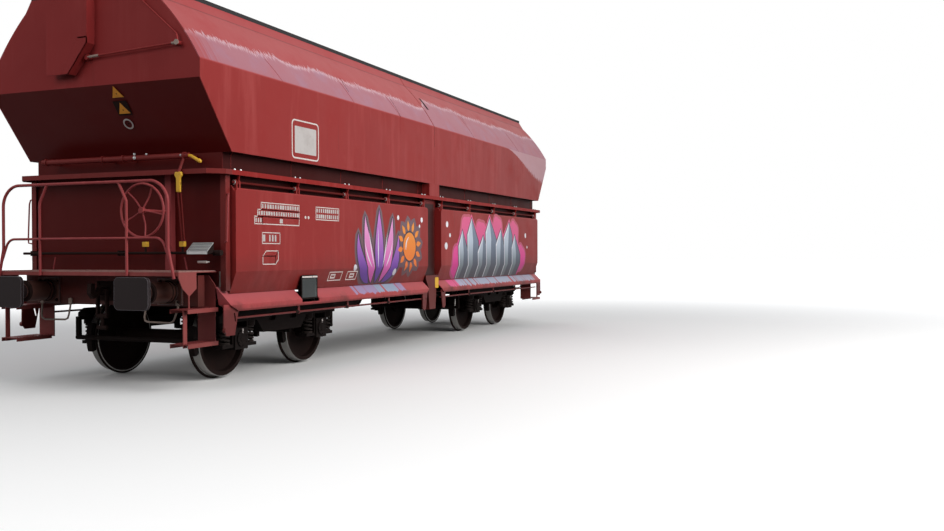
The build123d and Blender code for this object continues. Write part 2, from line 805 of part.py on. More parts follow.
# Draw hook and screw coupling, hung down from the hook.
hook_face = shaped(
    headstock_x, hook_reach, buffer_z, hook_jaw,
    [(0, -0.5), (0.5, -0.5), (0.833, -0.889), (1, -0.222), (0.967, 1), (0.783, 1), (0.783, 0.111), (0.633, 0),
     (0.5, 0.5), (0, 0.5)],
)
hook = along_y(hook_face, -hook_t / 2, hook_t / 2)
hook += block(headstock_x, headstock_x + hook_plate_t, -hook_plate_half_w, hook_plate_half_w,
              buffer_z - hook_plate_half_h, buffer_z + hook_plate_half_h)
link_x = headstock_x + link_reach
link_t = link_bar / 4
trunnion_z = coupling_z0 + trunnion_rise
hook += cross_bar(link_x, link_half + link_t - 2, buffer_z, link_bar)
for y in (-link_half, link_half):
    hook += block(link_x - link_bar / 2, link_x + link_bar / 2, y - link_t, y + link_t, trunnion_z - link_t,
                  buffer_z)
hook += cross_bar(link_x, link_half + link_t + 1, trunnion_z, link_bar + 6)
hook += bar((link_x, 0, trunnion_z), (link_x, 0, coupling_z0), link_bar - 4)
hook += cross_bar(link_x, link_half, coupling_z0, link_bar + 2)
save("draw_gear", *both_ends(hook))

# Brake platform: deck with a front edge, and plates below its sides.
deck = block(-platform_x, -end_wall_x - fit, -platform_half_w, platform_half_w, platform_z - deck_t,
             platform_z)
deck += block(-platform_x, -platform_x + 12, -platform_half_w, platform_half_w, platform_z - platform_t,
              platform_z)
for y in deck_rib_ys:
    deck += block(-platform_x, -headstock_x + headstock_t, y - 30, y + 30, platform_z - platform_t,
                  platform_z)
plate_face = shaped(
    -platform_x, side_plate_length, platform_z, side_plate_drop,
    [(0, 0), (0, -0.231), (0.207, -0.654), (0.586, -1), (1, -0.692), (1, 0)],
)
side_plate = along_y(plate_face, platform_half_w - side_plate_t, platform_half_w)
strap_x = platform_x - 160
step_strap = block(-strap_x, -strap_x + 14, platform_half_w - side_plate_t, platform_half_w,
                   step_high_z + fit, platform_z - side_plate_drop + 20)
save("platform", deck + both_sides(side_plate + step_strap))

# Corner steps: two treads each, between a strap in front and a hanging plate behind.
def corner_step():
    """The steps of the left corner at the plain end."""
    step_y0 = stringer_y + stringer_t + fit
    hanging_face = outline(
        (step_y0, step_low_z - 20), (step_plate_y, step_low_z - 20),
        (step_plate_y, under_deck_z - step_slope + 60),
        (step_plate_y - 90, under_deck_z), (step_y0, under_deck_z),
    )
    step = along_x(hanging_face, step_x0 - 12, step_x0)
    for z in (step_low_z, step_high_z):
        step += block(step_x0, step_x1, step_y0 + 36, step_y1, z - step_t, z)
        step += block(step_x0, step_x1, step_y1 - step_t, step_y1, z - step_lip, z)
        step += block(step_x0, step_x1, step_y0 + 36, step_y0 + 36 + step_t, z - step_lip, z)
    step += block(step_x1 - 60, step_x1, step_y1 - 70, step_y1 - 60, step_low_z - 40, step_high_z)
    return step


save("corner_steps", *four_corners(corner_step()))

# Hand rails of the brake platform, fastened to the outside of its front edge: an outer rail bent
# down to both corners, a lower rail between its legs, and two uprights that lean in at the top.
rail_x = platform_x + rail_d / 2 + fit
leg_line = [(rail_half_w, rail_knee_z), (rail_foot_y, rail_foot_z)]
handrail_path = [(-rail_x, -y, z) for y, z in reversed(leg_line)]
handrail_path += [(-rail_x, -rail_half_w, rail_top_z), (-rail_x, rail_half_w, rail_top_z)]
handrail_path += [(-rail_x, y, z) for y, z in leg_line]
handrails = bent_tube(handrail_path, rail_bend, rail_d)
join_y = (rail_half_w + rail_foot_y) / 2
join_z = (rail_knee_z + rail_foot_z) / 2
low_rail_bend_y = rail_half_w - 80
low_line = [(join_y, join_z), (low_rail_bend_y, rail_low_z)]
low_path = [(-rail_x, -y, z) for y, z in low_line] + [(-rail_x, y, z) for y, z in reversed(low_line)]
handrails += bent_tube(low_path, low_rail_bend, low_rail_d)
for side in (-1, 1):
    handrails += bent_tube(
        [(-rail_x, side * upright_y, platform_z - platform_t), (-rail_x, side * upright_y, upright_bend_z),
         (-rail_x, side * upright_head_y, rail_top_z)],
        rail_bend / 3, upright_d,
    )
save("handrails", handrails)

# Handwheel of the hand brake: rim, five spokes, hub and a shaft back to its tall gear case on the wall.
# It is drawn about its own hub and then moved to its place.
hub_half = 26
hub_d = 64
handwheel = revolve(Plane.XY * Pos(0, wheel_rim_r) * RegularPolygon(wheel_rim_d / 2, wheel_rim_sides), Axis.X)
handwheel += bar((-hub_half, 0, 0), (hub_half, 0, 0), hub_d)
for k in range(spoke_count):
    turn = spoke_turn + k * 360 / spoke_count
    spoke = bent_tube([(0, 0, 0), (spoke_dish, 0, wheel_rim_r * 0.55), (0, 0, wheel_rim_r)], 160, spoke_d)
    handwheel += Rot(turn, 0, 0) * spoke
case_front = handwheel_x - gear_case_x
handwheel += bar((0, 0, 0), (case_front + 10, 0, 0), 34)
handwheel += block(case_front, handwheel_x - end_wall_x - fit, -gear_case_half_w, gear_case_half_w,
                   platform_z + fit - handwheel_z, beam_under - fit - handwheel_z)
save("handwheel", Pos(-handwheel_x, handwheel_y, handwheel_z) * handwheel)

# Door control at the brake end: a thick tube across the wall with levers, a low cross shaft with a
# foot pedal, and the rods between them. All of it stays at rest.
rod_top_x = beam_end_x + 44
rod_foot_x = shaft_x + 40
rod_foot_z = lever_z1 + 8
rod_top_z = (grip_z0 + grip_z1) / 2
control = cross_bar(-control_x, control_half_w, control_z, control_d)
for y in control_arm_ys:
    control += block(-control_x, -end_wall_x - fit, y - 8, y + 8, control_z - control_arm_half,
                     control_z + control_arm_half)
    control += bar((-control_x, y - 14, control_z), (-control_x, y + 14, control_z), control_d + 20)
control += bar((-control_x, grip_y, control_z), (-rod_top_x, grip_y, grip_z1), 30)
control += block(-rod_top_x - 12, -rod_top_x + 12, grip_y - grip_half, grip_y + grip_half, grip_z0, grip_z1)
rod_foot_y = lever_ys[0] - rod_foot_shift
foot_ys = (rod_foot_y + rod_foot_gap, rod_foot_y - rod_foot_gap)
for top_y, foot_y, d in ((grip_y + grip_gap, foot_ys[0], rod_d_thick),
                         (grip_y - grip_gap, foot_ys[1], rod_d_thin)):
    control += bar((-rod_top_x, top_y, rod_top_z), (-rod_foot_x, foot_y, rod_foot_z), d)
control += block(-rod_foot_x - 8, -rod_foot_x + 12, foot_ys[1] - 12, foot_ys[0] + 12, rod_foot_z - 6,
                 rod_foot_z + 10)
save("control_tube", control)

shaft = cross_bar(-shaft_x, shaft_half_w, shaft_z, shaft_d)
for y in (-shaft_half_w + 110, 0, shaft_half_w - 110):
    shaft += block(-shaft_x, -end_wall_x - fit, y - 8, y + 8, shaft_z - shaft_d, shaft_z + shaft_d)
shaft += bar((-shaft_x, -shaft_half_w, shaft_z), (-shaft_x, -shaft_half_w + 70, shaft_z), 2 * shaft_d + 2)
for y in lever_ys:
    shaft += bar((-shaft_x, y, shaft_z), (-shaft_x, y, lever_z0 + 5), shaft_d - 8)
    shaft += block(-shaft_x - 20, -shaft_x + 20, y - lever_half, y + lever_half, lever_z0, lever_z1)
pedal_front_x = -shaft_x - pedal_reach
pedal_top_z = pedal_z + pedal_rise
pedal_back_x = -shaft_x - pedal_t
pedal_line = [(pedal_back_x, pedal_top_z), (pedal_front_x, pedal_z), (pedal_front_x, pedal_z - pedal_lip)]
pedal_web = outline(*pedal_line, (pedal_back_x, shaft_z))
shaft += along_y(folded(pedal_line, pedal_t, Side.LEFT), pedal_y0, pedal_y1)
for y in (pedal_y0, pedal_y1 - pedal_t):
    shaft += along_y(pedal_web, y, y + pedal_t)
save("control_shaft", shaft)

# End linkage above the platform: a square column with an arm plate, a pivot and two thin rods.
def end_linkage():
    """The linkage on the upper end wall of the brake end."""
    wall_x = -body_half_length - fit
    column_x = wall_x - column_deep
    column = block(column_x, wall_x, -column_half, column_half, column_z0, rim_base_z)
    arm_face = outline(
        (column_half - 1, rim_base_z - 20), (column_half - 1, column_z0 + 20),
        (arm_inner_y, column_z0 - arm_drop),
        (arm_outer_y, column_z0 - arm_drop), (arm_outer_y, rim_base_z - 20),
    )
    arm = along_x(arm_face, column_x, column_x + arm_t)
    pivot_post = bar((wall_x - pivot_d, 0, pivot_z), (wall_x, 0, pivot_z), pivot_d)
    rod_x = wall_x - linkage_gap
    elbow = (-body_half_width + elbow_inset, knuckle_z + elbow_rise)
    bend = (elbow[0] + 15, elbow[1] + 95)
    head = (elbow[0] + 15 + rod_head_run, bend[1] + rod_head_rise)
    rod = bar((rod_x, 0, pivot_z), (rod_x, *elbow), linkage_rod_d)
    rod += bar((wall_x, *elbow), (rod_x - 15, *elbow), linkage_boss_d)
    rod += bar((rod_x, *elbow), (rod_x, *bend), linkage_rod_d)
    rod += bar((rod_x, *bend), (rod_x, *head), linkage_thin_d)
    rod += bar((wall_x, *head), (rod_x - 10, *head), linkage_boss_d - 10)
    return column + arm + pivot_post + rod


save("end_linkage", *both_ends(end_linkage()))


# Running gear. Every piece is drawn about its own bogie pivot and then moved to it.
def wheelset():
    """Two wheels pressed on one axle, turned about Y at the height of the axle."""
    tread = wheel_d / 2
    rim_in = tread - 62
    inner = wheel_inner_y
    outer = wheel_inner_y + wheel_width
    top = tread + flange_h
    hub_r = axle_r + 45
    half = outline(
        (0, 0), (0, axle_r), (inner - 30, axle_r), (inner - 30, hub_r), (inner + 20, hub_r + 15),
        (inner + 30, rim_in),
        (inner, rim_in + 8), (inner, top - 4), (inner + 8, top), (inner + 20, top - 4),
        (inner + 34, tread + 1), (outer - 6, tread - 3), (outer, tread - 9), (outer, rim_in + 6),
        (inner + 62, rim_in),
        (inner + 52, hub_r + 15), (outer + 20, hub_r - 3), (outer + 20, axle_r + 12),
        (journal_y0 - 20, axle_r + 8), (journal_y0, journal_r), (journal_y1, journal_r), (journal_y1, 0),
    )
    turned = revolve(Plane.YZ * half, Axis.Y)
    return turned + mirror(turned, Plane.XZ)


one_wheelset = wheelset()
beam_hole = RectangleRounded(150, 90, 30)
side_z0 = 660
side_top_z = 860
side_face = outline(
    (-frame_end, side_z0), (-frame_end, side_z0 + 85), (-frame_end + 90, side_top_z - 60),
    (-560, side_top_z - 60),
    (-380, side_top_z), (380, side_top_z), (560, side_top_z - 60), (frame_end - 90, side_top_z - 60),
    (frame_end, side_z0 + 85), (frame_end, side_z0), (560, side_z0), (420, side_z0 - 160),
    (-420, side_z0 - 160), (-560, side_z0),
)


def bogie_frame():
    """Side frames with horn guides and spring pockets, joined by a cross beam with the pivot cup."""
    frame_y0 = frame_y - frame_t / 2
    frame_y1 = frame_y + frame_t / 2
    side = along_y(side_face, frame_y0, frame_y1)
    holes = Pos(-spring_dx, beam_hole_z) * beam_hole + Pos(spring_dx, beam_hole_z) * beam_hole
    side -= along_y(holes, frame_y, frame_y1 + 1)
    for axle_x in (-bogie_wheelbase / 2, bogie_wheelbase / 2):
        for way in (-1, 1):
            horn_x = axle_x + way * (box_half + horn_gap + 10)
            side += block(horn_x - 10, horn_x + 10, frame_y0, frame_y1, horn_z0, side_z0 + 1)
            spring_x = axle_x + way * spring_dx
            pocket_z1 = side_z0 + 1
            side += Pos(spring_x, frame_y, (spring_top_z + pocket_z1) / 2) * Cylinder(
                spring_r + 14, pocket_z1 - spring_top_z)
    side += block(-420, 420, frame_y0 - 10, frame_y1 + 10, side_top_z - 24, side_top_z + 6)
    cross_top = 835
    cross = block(-160, 160, -frame_y, frame_y, cross_z0, cross_top)
    cross += block(-240, 240, -bearer_y - 100, -bearer_y + 90, cross_top - 35, bearer_z - 40)
    cross += block(-240, 240, bearer_y - 90, bearer_y + 100, cross_top - 35, bearer_z - 40)
    for way in (-1, 1):
        cross += block(-90, 90, way * bearer_y - 55, way * bearer_y + 55, bearer_z - 41, bearer_z)
    cross += Pos(0, 0, (cross_top + bearer_z) / 2) * Cylinder(pivot_r + cup_wall, bearer_z - cross_top)
    cross -= Pos(0, 0, cup_floor_z + 100) * Cylinder(pivot_r + box_play, 200)
    return side + mirror(side, Plane.XZ) + cross


def axle_boxes():
    """Four axle boxes with wings for the springs and round covers, on one bogie."""
    boxes = []
    cover_t = 18
    cover_d = 190
    for axle_x in (-bogie_wheelbase / 2, bogie_wheelbase / 2):
        one = Pos(axle_x, 0) * block(-box_half, box_half, box_y0, box_y1, axle_z - box_half,
                                     axle_z + box_half + 5)
        one += Pos(axle_x, 0) * block(-wing_half, wing_half, box_y0 + 10, box_y1 - 25, wing_z - 40, wing_z)
        one += bar((axle_x, box_y1, axle_z), (axle_x, box_y1 + cover_t, axle_z), cover_d)
        one -= bar((axle_x, box_y0 - 5, axle_z), (axle_x, journal_y1 + box_play, axle_z),
                   2 * (journal_r + box_play))
        boxes += both_sides(one)
    return boxes


def springs():
    """The eight coil springs of one bogie, each as its outer form."""
    solids = []
    for axle_x in (-bogie_wheelbase / 2, bogie_wheelbase / 2):
        for way in (-1, 1):
            place = Pos(axle_x + way * spring_dx, frame_y, (wing_z + spring_top_z) / 2)
            solids += both_sides(place * Cylinder(spring_r, spring_top_z - wing_z - 2 * fit))
    return solids


def brake_rigging():
    """Brake blocks on both sides of every wheel, their hangers, and the beams across the bogie."""
    solids = []
    pad_y = wheel_inner_y + wheel_width / 2 + 12
    pad_half = 40
    hanger_y0 = brake_beam_end - 55
    shoe_r = wheel_d / 2 + block_gap
    ring = Circle(shoe_r + block_t) - Circle(shoe_r)
    wedge = outline((0, 0), (900, 320), (900, -320))
    for end in (-1, 1):
        for way in (-1, 1):
            axle_x = end * bogie_wheelbase / 2
            pad_face = ring & (wedge if way > 0 else mirror(wedge, Plane.YZ))
            pad = along_y(Pos(axle_x, axle_z) * pad_face, pad_y - pad_half, pad_y + pad_half)
            beam_x = axle_x + way * (shoe_r + brake_beam_gap)
            cross = cross_bar(beam_x, brake_beam_end, axle_z, brake_beam_d)
            if way == end:
                hang_x = end * (frame_end + fit)
                hanger = block(hang_x, end * (frame_end + 24), hanger_y0, frame_y, side_z0 + 4, side_z0 + 80)
                hanger += block(hang_x, beam_x, hanger_y0, brake_beam_end, side_z0 + 10, side_z0 + 50)
                hanger += block(beam_x - hanger_t / 2, beam_x + hanger_t / 2, hanger_y0, brake_beam_end,
                                axle_z - 20, side_z0 + 50)
            else:
                hanger = block(beam_x - hanger_t / 2, beam_x + hanger_t / 2, hanger_y0,
                               frame_y - frame_t / 2 - fit, axle_z - 20, side_z0 - 40)
            solids.append(cross + both_sides(pad) + both_sides(hanger))
    return solids


for name, end in (("plain_end", 1), ("brake_end", -1)):
    place = Pos(end * pivot_spacing / 2, 0, 0)
    save(f"bogie_frame_{name}", place * bogie_frame())
    save(f"axle_boxes_{name}", *[place * piece for piece in axle_boxes()])
    save(f"springs_{name}", *[place * piece for piece in springs()])
    save(f"brake_rigging_{name}", *[place * piece for piece in brake_rigging()])
    for side, way in (("outer", end), ("inner", -end)):
        save(f"wheelset_{name}_{side}", place * Pos(way * bogie_wheelbase / 2, 0, axle_z) * one_wheelset)

# Brake equipment under the frame: an air reservoir and a brake cylinder hung from the webs.
tank = bar((-tank_x1, -tank_y, tank_z), (-tank_x0, -tank_y, tank_z), 2 * tank_r)
tank = fillet(tank.edges().filter_by(GeomType.CIRCLE), 60)
for x in (-2 * web_pitch, -web_pitch):
    tank += bar((x - 25, -tank_y, tank_z), (x + 25, -tank_y, tank_z), 2 * (tank_r + tank_strap))
    tank += block(x - 20, x + 20, -tank_y - 30, -tank_y + 30, tank_z + tank_r, web_bottom_z)
cylinder_x1 = cylinder_x0 + cylinder_length
cylinder = bar((cylinder_x0, tank_y, tank_z), (cylinder_x1, tank_y, tank_z), cylinder_d)
cylinder += bar((cylinder_x1, tank_y, tank_z), (cylinder_x1 + 40, tank_y, tank_z), cylinder_d + 40)
cylinder += bar((cylinder_x1 + 40, tank_y, tank_z), (cylinder_x1 + 350, tank_y, tank_z), 46)
cylinder += block(web_pitch - 25, web_pitch + 25, tank_y - 60, tank_y + 60, tank_z + 120, web_bottom_z)
valve = block(-90, 90, -tank_y - 100, -tank_y + 60, tank_z - 60, tank_z + 110)
valve += block(-20, 20, -tank_y - 60, -tank_y + 20, tank_z + 109, web_bottom_z)
save("brake_gear", tank, cylinder, valve)

print("written", len(written), "nodes")
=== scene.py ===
# %% [markdown]
# # A bogie hopper wagon, dressed for the light of a grey day
# The CAD model arrives as a fixed frame: every node is a plain solid in its real place. This
# lesson gives each node a worn finish and adds what is too small for CAD: springs, bolts, weld
# seams, handles, grating and paint. Lengths are in metres, and z = 0 is where the wheels stand.

# %% Load the frame
import json
import math
import random
from itertools import product

import bmesh
import bpy
from mathutils import Matrix, Vector


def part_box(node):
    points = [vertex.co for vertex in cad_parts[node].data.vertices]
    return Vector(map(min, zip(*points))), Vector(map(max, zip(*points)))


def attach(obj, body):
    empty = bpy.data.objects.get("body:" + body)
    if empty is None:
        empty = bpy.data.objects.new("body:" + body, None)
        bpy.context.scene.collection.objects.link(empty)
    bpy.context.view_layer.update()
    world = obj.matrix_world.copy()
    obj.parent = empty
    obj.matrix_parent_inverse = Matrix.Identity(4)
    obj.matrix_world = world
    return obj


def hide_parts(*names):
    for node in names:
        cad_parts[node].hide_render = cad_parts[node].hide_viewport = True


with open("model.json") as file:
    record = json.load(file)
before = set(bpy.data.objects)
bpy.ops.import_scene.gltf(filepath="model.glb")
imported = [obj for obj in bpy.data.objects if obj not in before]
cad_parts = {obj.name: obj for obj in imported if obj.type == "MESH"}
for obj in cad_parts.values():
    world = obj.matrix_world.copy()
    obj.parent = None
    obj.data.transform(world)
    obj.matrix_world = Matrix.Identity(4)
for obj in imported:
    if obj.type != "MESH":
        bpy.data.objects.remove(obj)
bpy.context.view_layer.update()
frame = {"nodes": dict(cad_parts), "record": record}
nodes = frame["nodes"]
random.seed(4)

# %% [markdown]
# The camera stands beside the track, a little above eye height, and looks along the train. Its
# place was worked out from the known track gauge and buffer spacing, so the wagon falls on the
# same lines as in the picture. A camera looks down its own -Z, so its turn is three plain
# rotations, read from the right: a small roll, then the pitch that sets it upright, then the heading.

# %% Camera
FRAME_WIDTH = 36.0
FOCAL_LENGTH = 36.24
TRACK_SIDE = (-14.048, -7.885, 1.483)
camera_data = bpy.data.cameras.new("track_side")
camera_data.sensor_width = FRAME_WIDTH
camera_data.lens = FOCAL_LENGTH
camera = bpy.data.objects.new("track_side", camera_data)
bpy.context.scene.collection.objects.link(camera)
heading = math.radians(22.257)
pitch = math.radians(-0.692)
roll = math.radians(-0.152)
camera.matrix_world = (
    Matrix.Translation(TRACK_SIDE)
    @ Matrix.Rotation(heading - math.pi / 2, 4, "Z")
    @ Matrix.Rotation(math.pi / 2 + pitch, 4, "X")
    @ Matrix.Rotation(roll, 4, "Z")
)
bpy.context.scene.camera = camera
print("camera at", [round(v, 2) for v in camera.matrix_world.translation])

# %% [markdown]
# Sky, floor and finishes are all trees of nodes, so the helpers for trees come first. One makes a
# node and fills its inputs. The others give back a node's output: a sum, a smooth step between
# two values, a place on the wagon, a noise, or one colour laid over another.

# %% Helpers for node trees
def linear(red, green, blue):
    """A colour given as it looks on a screen, 0 to 255, as the renderer wants it."""
    parts = [value / 255.0 for value in (red, green, blue)]
    return tuple(v / 12.92 if v <= 0.04045 else ((v + 0.055) / 1.055) ** 2.4 for v in parts) + (1.0,)


def add(tree, kind, settings=None, **values):
    """One node, with its settings, and values or links for its inputs by name, or _ and a number."""
    node = tree.nodes.new(kind)
    for key, value in (settings or {}).items():
        setattr(node, key, value)
    for key, value in values.items():
        socket = node.inputs[int(key[1:]) if key[0] == "_" else key.replace("_", " ")]
        if isinstance(value, bpy.types.NodeSocket):
            tree.links.new(value, socket)
        else:
            socket.default_value = value
    return node


def maths(tree, operation, a, b=0.0, clamp=False):
    """The output of one maths node."""
    return add(tree, "ShaderNodeMath", {"operation": operation, "use_clamp": clamp}, _0=a, _1=b).outputs[0]


def times(tree, a, b, clamp=False):
    """One value times another."""
    return maths(tree, "MULTIPLY", a, b, clamp)


def plus(tree, a, b):
    """One value plus another."""
    return maths(tree, "ADD", a, b)


def minus(tree, a, b):
    """One value less another."""
    return maths(tree, "SUBTRACT", a, b)


def ramp(tree, value, low, high, out_low=0.0, out_high=1.0):
    """A value moved smoothly from one range to another, and held at the ends."""
    return add(tree, "ShaderNodeMapRange", {"interpolation_type": "SMOOTHSTEP"}, Value=value,
               From_Min=low, From_Max=high, To_Min=out_low, To_Max=out_high).outputs[0]


def spot_in(tree, axis=None):
    """Where a spot of the surface is in the wagon's frame: all three numbers, or one axis alone."""
    spot = add(tree, "ShaderNodeTexCoord").outputs["Object"]
    return add(tree, "ShaderNodeSeparateXYZ", Vector=spot).outputs[axis] if axis else spot


def noise_in(tree, dimensions, **values):
    """A cloudy noise from 0 to 1, in "1D", "3D" or "4D"."""
    return add(tree, "ShaderNodeTexNoise", {"noise_dimensions": dimensions}, **values).outputs[0]


def coat(tree, under, over, mask, strength=1.0):
    """One colour over another through a mask. A strength under 1 lets the lower one show."""
    share = times(tree, mask, strength, clamp=True) if strength != 1.0 else mask
    return add(tree, "ShaderNodeMix", {"data_type": "RGBA"}, Factor=share, A=under,
               B=over).outputs["Result"]


print("helpers ready")

# %% [markdown]
# Light comes from a wide overcast sky, so shadows are soft and the slopes that face up are the
# brightest. The world is a gradient that is strong overhead and weak below. What the camera, a
# mirror or a glass sees is plain white instead, so the background stays pale.

# %% Sky
scene = bpy.context.scene
scene.view_settings.view_transform = "Standard"
scene.world = bpy.data.worlds.new("overcast")
scene.world.use_nodes = True
sky = scene.world.node_tree
sky.nodes.clear()
upward = add(sky, "ShaderNodeSeparateXYZ",
             Vector=add(sky, "ShaderNodeTexCoord").outputs["Generated"]).outputs["Z"]
bright = add(sky, "ShaderNodeMapRange", Value=upward, From_Min=-0.2, From_Max=0.9, To_Min=0.03,
             To_Max=0.52).outputs[0]
sky_light = add(sky, "ShaderNodeBackground", Color=(0.93, 0.96, 1.0, 1.0), Strength=bright).outputs[0]
sky_white = add(sky, "ShaderNodeBackground", Color=(1.0, 1.0, 1.0, 1.0), Strength=1.0).outputs[0]
path = add(sky, "ShaderNodeLightPath").outputs
seen = maths(sky, "MAXIMUM", path["Is Camera Ray"], path["Is Glossy Ray"])
seen = maths(sky, "MAXIMUM", seen, path["Is Transmission Ray"])
both = add(sky, "ShaderNodeMixShader", Fac=seen, _1=sky_light, _2=sky_white).outputs[0]
add(sky, "ShaderNodeOutputWorld", Surface=both)
WARM_WHITE = (1.0, 0.985, 0.96)


def lamp(name, place, aim, size, watts):
    """A large square lamp of warm white that looks from its place to the aim point."""
    data = bpy.data.lights.new(name, "AREA")
    data.size = size
    data.energy = watts
    data.color = WARM_WHITE
    made = bpy.data.objects.new(name, data)
    scene.collection.objects.link(made)
    made.location = place
    made.rotation_euler = (Vector(aim) - Vector(place)).to_track_quat("-Z", "Y").to_euler()


lamp("open_sky_side", (-4.0, -16.0, 9.0), (0.0, 0.0, 1.8), 12.0, 2800.0)
lamp("open_sky_end", (-18.0, 2.0, 9.0), (-6.0, 0.0, 2.5), 8.0, 520.0)
lamp("open_sky_far", (14.0, 13.0, 9.0), (1.0, 0.0, 2.0), 12.0, 900.0)

# %% [markdown]
# The floor is plain and pale. Bounced light from a pale floor would fill the dark space between
# the wheels, so only the camera and mirrors see it pale: to scattered light it is a dark grey.
# Far from the wagon, where the lamps fade, it glows a little for the camera and meets the sky.

# %% Floor
def new_material(name, roughness=0.5, metallic=0.0, specular=0.5):
    """A material with its shader's plain values set, and its tree."""
    made = bpy.data.materials.new(name)
    made.use_nodes = True
    shader = made.node_tree.nodes["Principled BSDF"]
    shader.inputs["Roughness"].default_value = roughness
    shader.inputs["Metallic"].default_value = metallic
    shader.inputs["Specular IOR Level"].default_value = specular
    return made, made.node_tree, shader


FLOOR_HALF = 200
floor_mesh = bpy.data.meshes.new("floor")
corners = [(sx * FLOOR_HALF, sy * FLOOR_HALF, 0) for sx, sy in ((-1, -1), (1, -1), (1, 1), (-1, 1))]
floor_mesh.from_pydata(corners, [], [(0, 1, 2, 3)])
floor = bpy.data.objects.new("floor", floor_mesh)
scene.collection.objects.link(floor)
floor_paint, tree, shader = new_material("pale_floor", roughness=0.9, specular=0.1)
path = add(tree, "ShaderNodeLightPath").outputs
PALE = (0.86, 0.86, 0.86, 1.0)
DARK = (0.06, 0.06, 0.06, 1.0)
GLOW_FROM, GLOW_FULL, GLOW = 6.0, 24.0, 0.8
pale = coat(tree, PALE, DARK, path["Is Diffuse Ray"])
away = add(tree, "ShaderNodeVectorMath", {"operation": "LENGTH"}, _0=spot_in(tree)).outputs["Value"]
glow = times(tree, ramp(tree, away, GLOW_FROM, GLOW_FULL, 0.0, GLOW), path["Is Camera Ray"])
tree.links.new(glow, shader.inputs["Emission Strength"])
tree.links.new(pale, shader.inputs["Base Color"])
floor_mesh.materials.append(floor_paint)
print("floor ready")

# %% [markdown]
# Several finishes share the same kinds of wear, so each kind is one node group. A group has named
# inputs, and gives back only a mask or a height: the shader itself stays in the material. Rain
# leaves upright streaks. They are a noise that is pulled long in Z and kept fine across, so the
# same group works on the sides and on the ends. Spread sets how fine they are.

# %% Group: rain streaks
def new_group(name, numbers, outputs=("Mask",)):
    """An empty node group with number inputs and outputs, its input's outputs, and its output node."""
    group = bpy.data.node_groups.new(name, "ShaderNodeTree")
    for label, default in numbers:
        socket = group.interface.new_socket(name=label, in_out="INPUT", socket_type="NodeSocketFloat")
        socket.default_value = default
    for label in outputs:
        group.interface.new_socket(name=label, in_out="OUTPUT", socket_type="NodeSocketFloat")
    return group, group.nodes.new("NodeGroupInput").outputs, group.nodes.new("NodeGroupOutput")


streaks, given, result = new_group("rain streaks",
                                   (("Spread", 9.0), ("Length", 0.6), ("Cover", 0.5), ("Seed", 0.0)))
pull = add(streaks, "ShaderNodeCombineXYZ", X=given["Spread"], Y=given["Spread"],
           Z=given["Length"]).outputs[0]
pulled = add(streaks, "ShaderNodeVectorMath", {"operation": "MULTIPLY"}, _0=spot_in(streaks),
             _1=pull).outputs[0]
noise = noise_in(streaks, "4D", Vector=pulled, W=given["Seed"], Scale=1.0, Detail=5.0, Roughness=0.62)
low = minus(streaks, 0.78, times(streaks, given["Cover"], 0.5))
streaks.links.new(times(streaks, minus(streaks, noise, low), 5.0, clamp=True), result.inputs["Mask"])
print("group:", streaks.name)

# %% [markdown]
# Clouds of lighter or darker paint come from one soft noise. The same group, at a larger scale,
# gives the blotches of rust and the speckle of road dirt.

# %% Group: cloudy patches
clouds, given, result = new_group(
    "cloudy patches", (("Scale", 1.5), ("Cover", 0.5), ("Softness", 0.25), ("Seed", 0.0)))
noise = noise_in(clouds, "4D", Vector=spot_in(clouds), W=given["Seed"], Scale=given["Scale"], Detail=6.0,
                 Roughness=0.6)
low = minus(clouds, 0.75, times(clouds, given["Cover"], 0.5))
rise = maths(clouds, "DIVIDE", minus(clouds, noise, low), given["Softness"], clamp=True)
clouds.links.new(rise, result.inputs["Mask"])
print("group:", clouds.name)

# %% [markdown]
# Dirt thrown up from the track settles low down. This mask is full below one height and gone
# above another, and a noise breaks up its upper edge.

# %% Group: thrown dirt
thrown, given, result = new_group("thrown dirt",
                                  (("Full below", 0.8), ("Gone above", 1.4), ("Ragged", 0.5)))
noise = noise_in(thrown, "3D", Vector=spot_in(thrown), Scale=3.0, Detail=6.0, Roughness=0.65)
lifted = plus(thrown, spot_in(thrown, "Z"), times(thrown, minus(thrown, noise, 0.5), given["Ragged"]))
span = minus(thrown, given["Gone above"], given["Full below"])
share = maths(thrown, "DIVIDE", minus(thrown, given["Gone above"], lifted), span, clamp=True)
thrown.links.new(share, result.inputs["Mask"])
print("group:", thrown.name)

# %% [markdown]
# Paint wears through first on edges. A Bevel node gives the normal that a rounded edge would
# have. Where it differs from the true normal there is an edge, and noise makes the wear patchy.

# %% Group: worn edges
edges, given, result = new_group("worn edges", (("Width", 0.006), ("Cover", 0.6)))
rounded = add(edges, "ShaderNodeBevel", {"samples": 4}, Radius=given["Width"]).outputs[0]
true_normal = add(edges, "ShaderNodeNewGeometry").outputs["Normal"]
match = add(edges, "ShaderNodeVectorMath", {"operation": "DOT_PRODUCT"}, _0=rounded,
            _1=true_normal).outputs["Value"]
bend = times(edges, minus(edges, 1.0, match), 6.0, clamp=True)
noise = noise_in(edges, "3D", Vector=spot_in(edges), Scale=14.0, Detail=4.0, Roughness=0.7)
patchy = minus(edges, plus(edges, noise, times(edges, given["Cover"], 0.4)), 0.62)
edges.links.new(times(edges, bend, times(edges, patchy, 6.0, clamp=True)), result.inputs["Mask"])
print("group:", edges.name)

# %% [markdown]
# Old sheet metal is never flat: it has wide shallow dents between its stiffeners, and paint
# with a fine grain. Both go into one height, which each material feeds to its own Bump node.

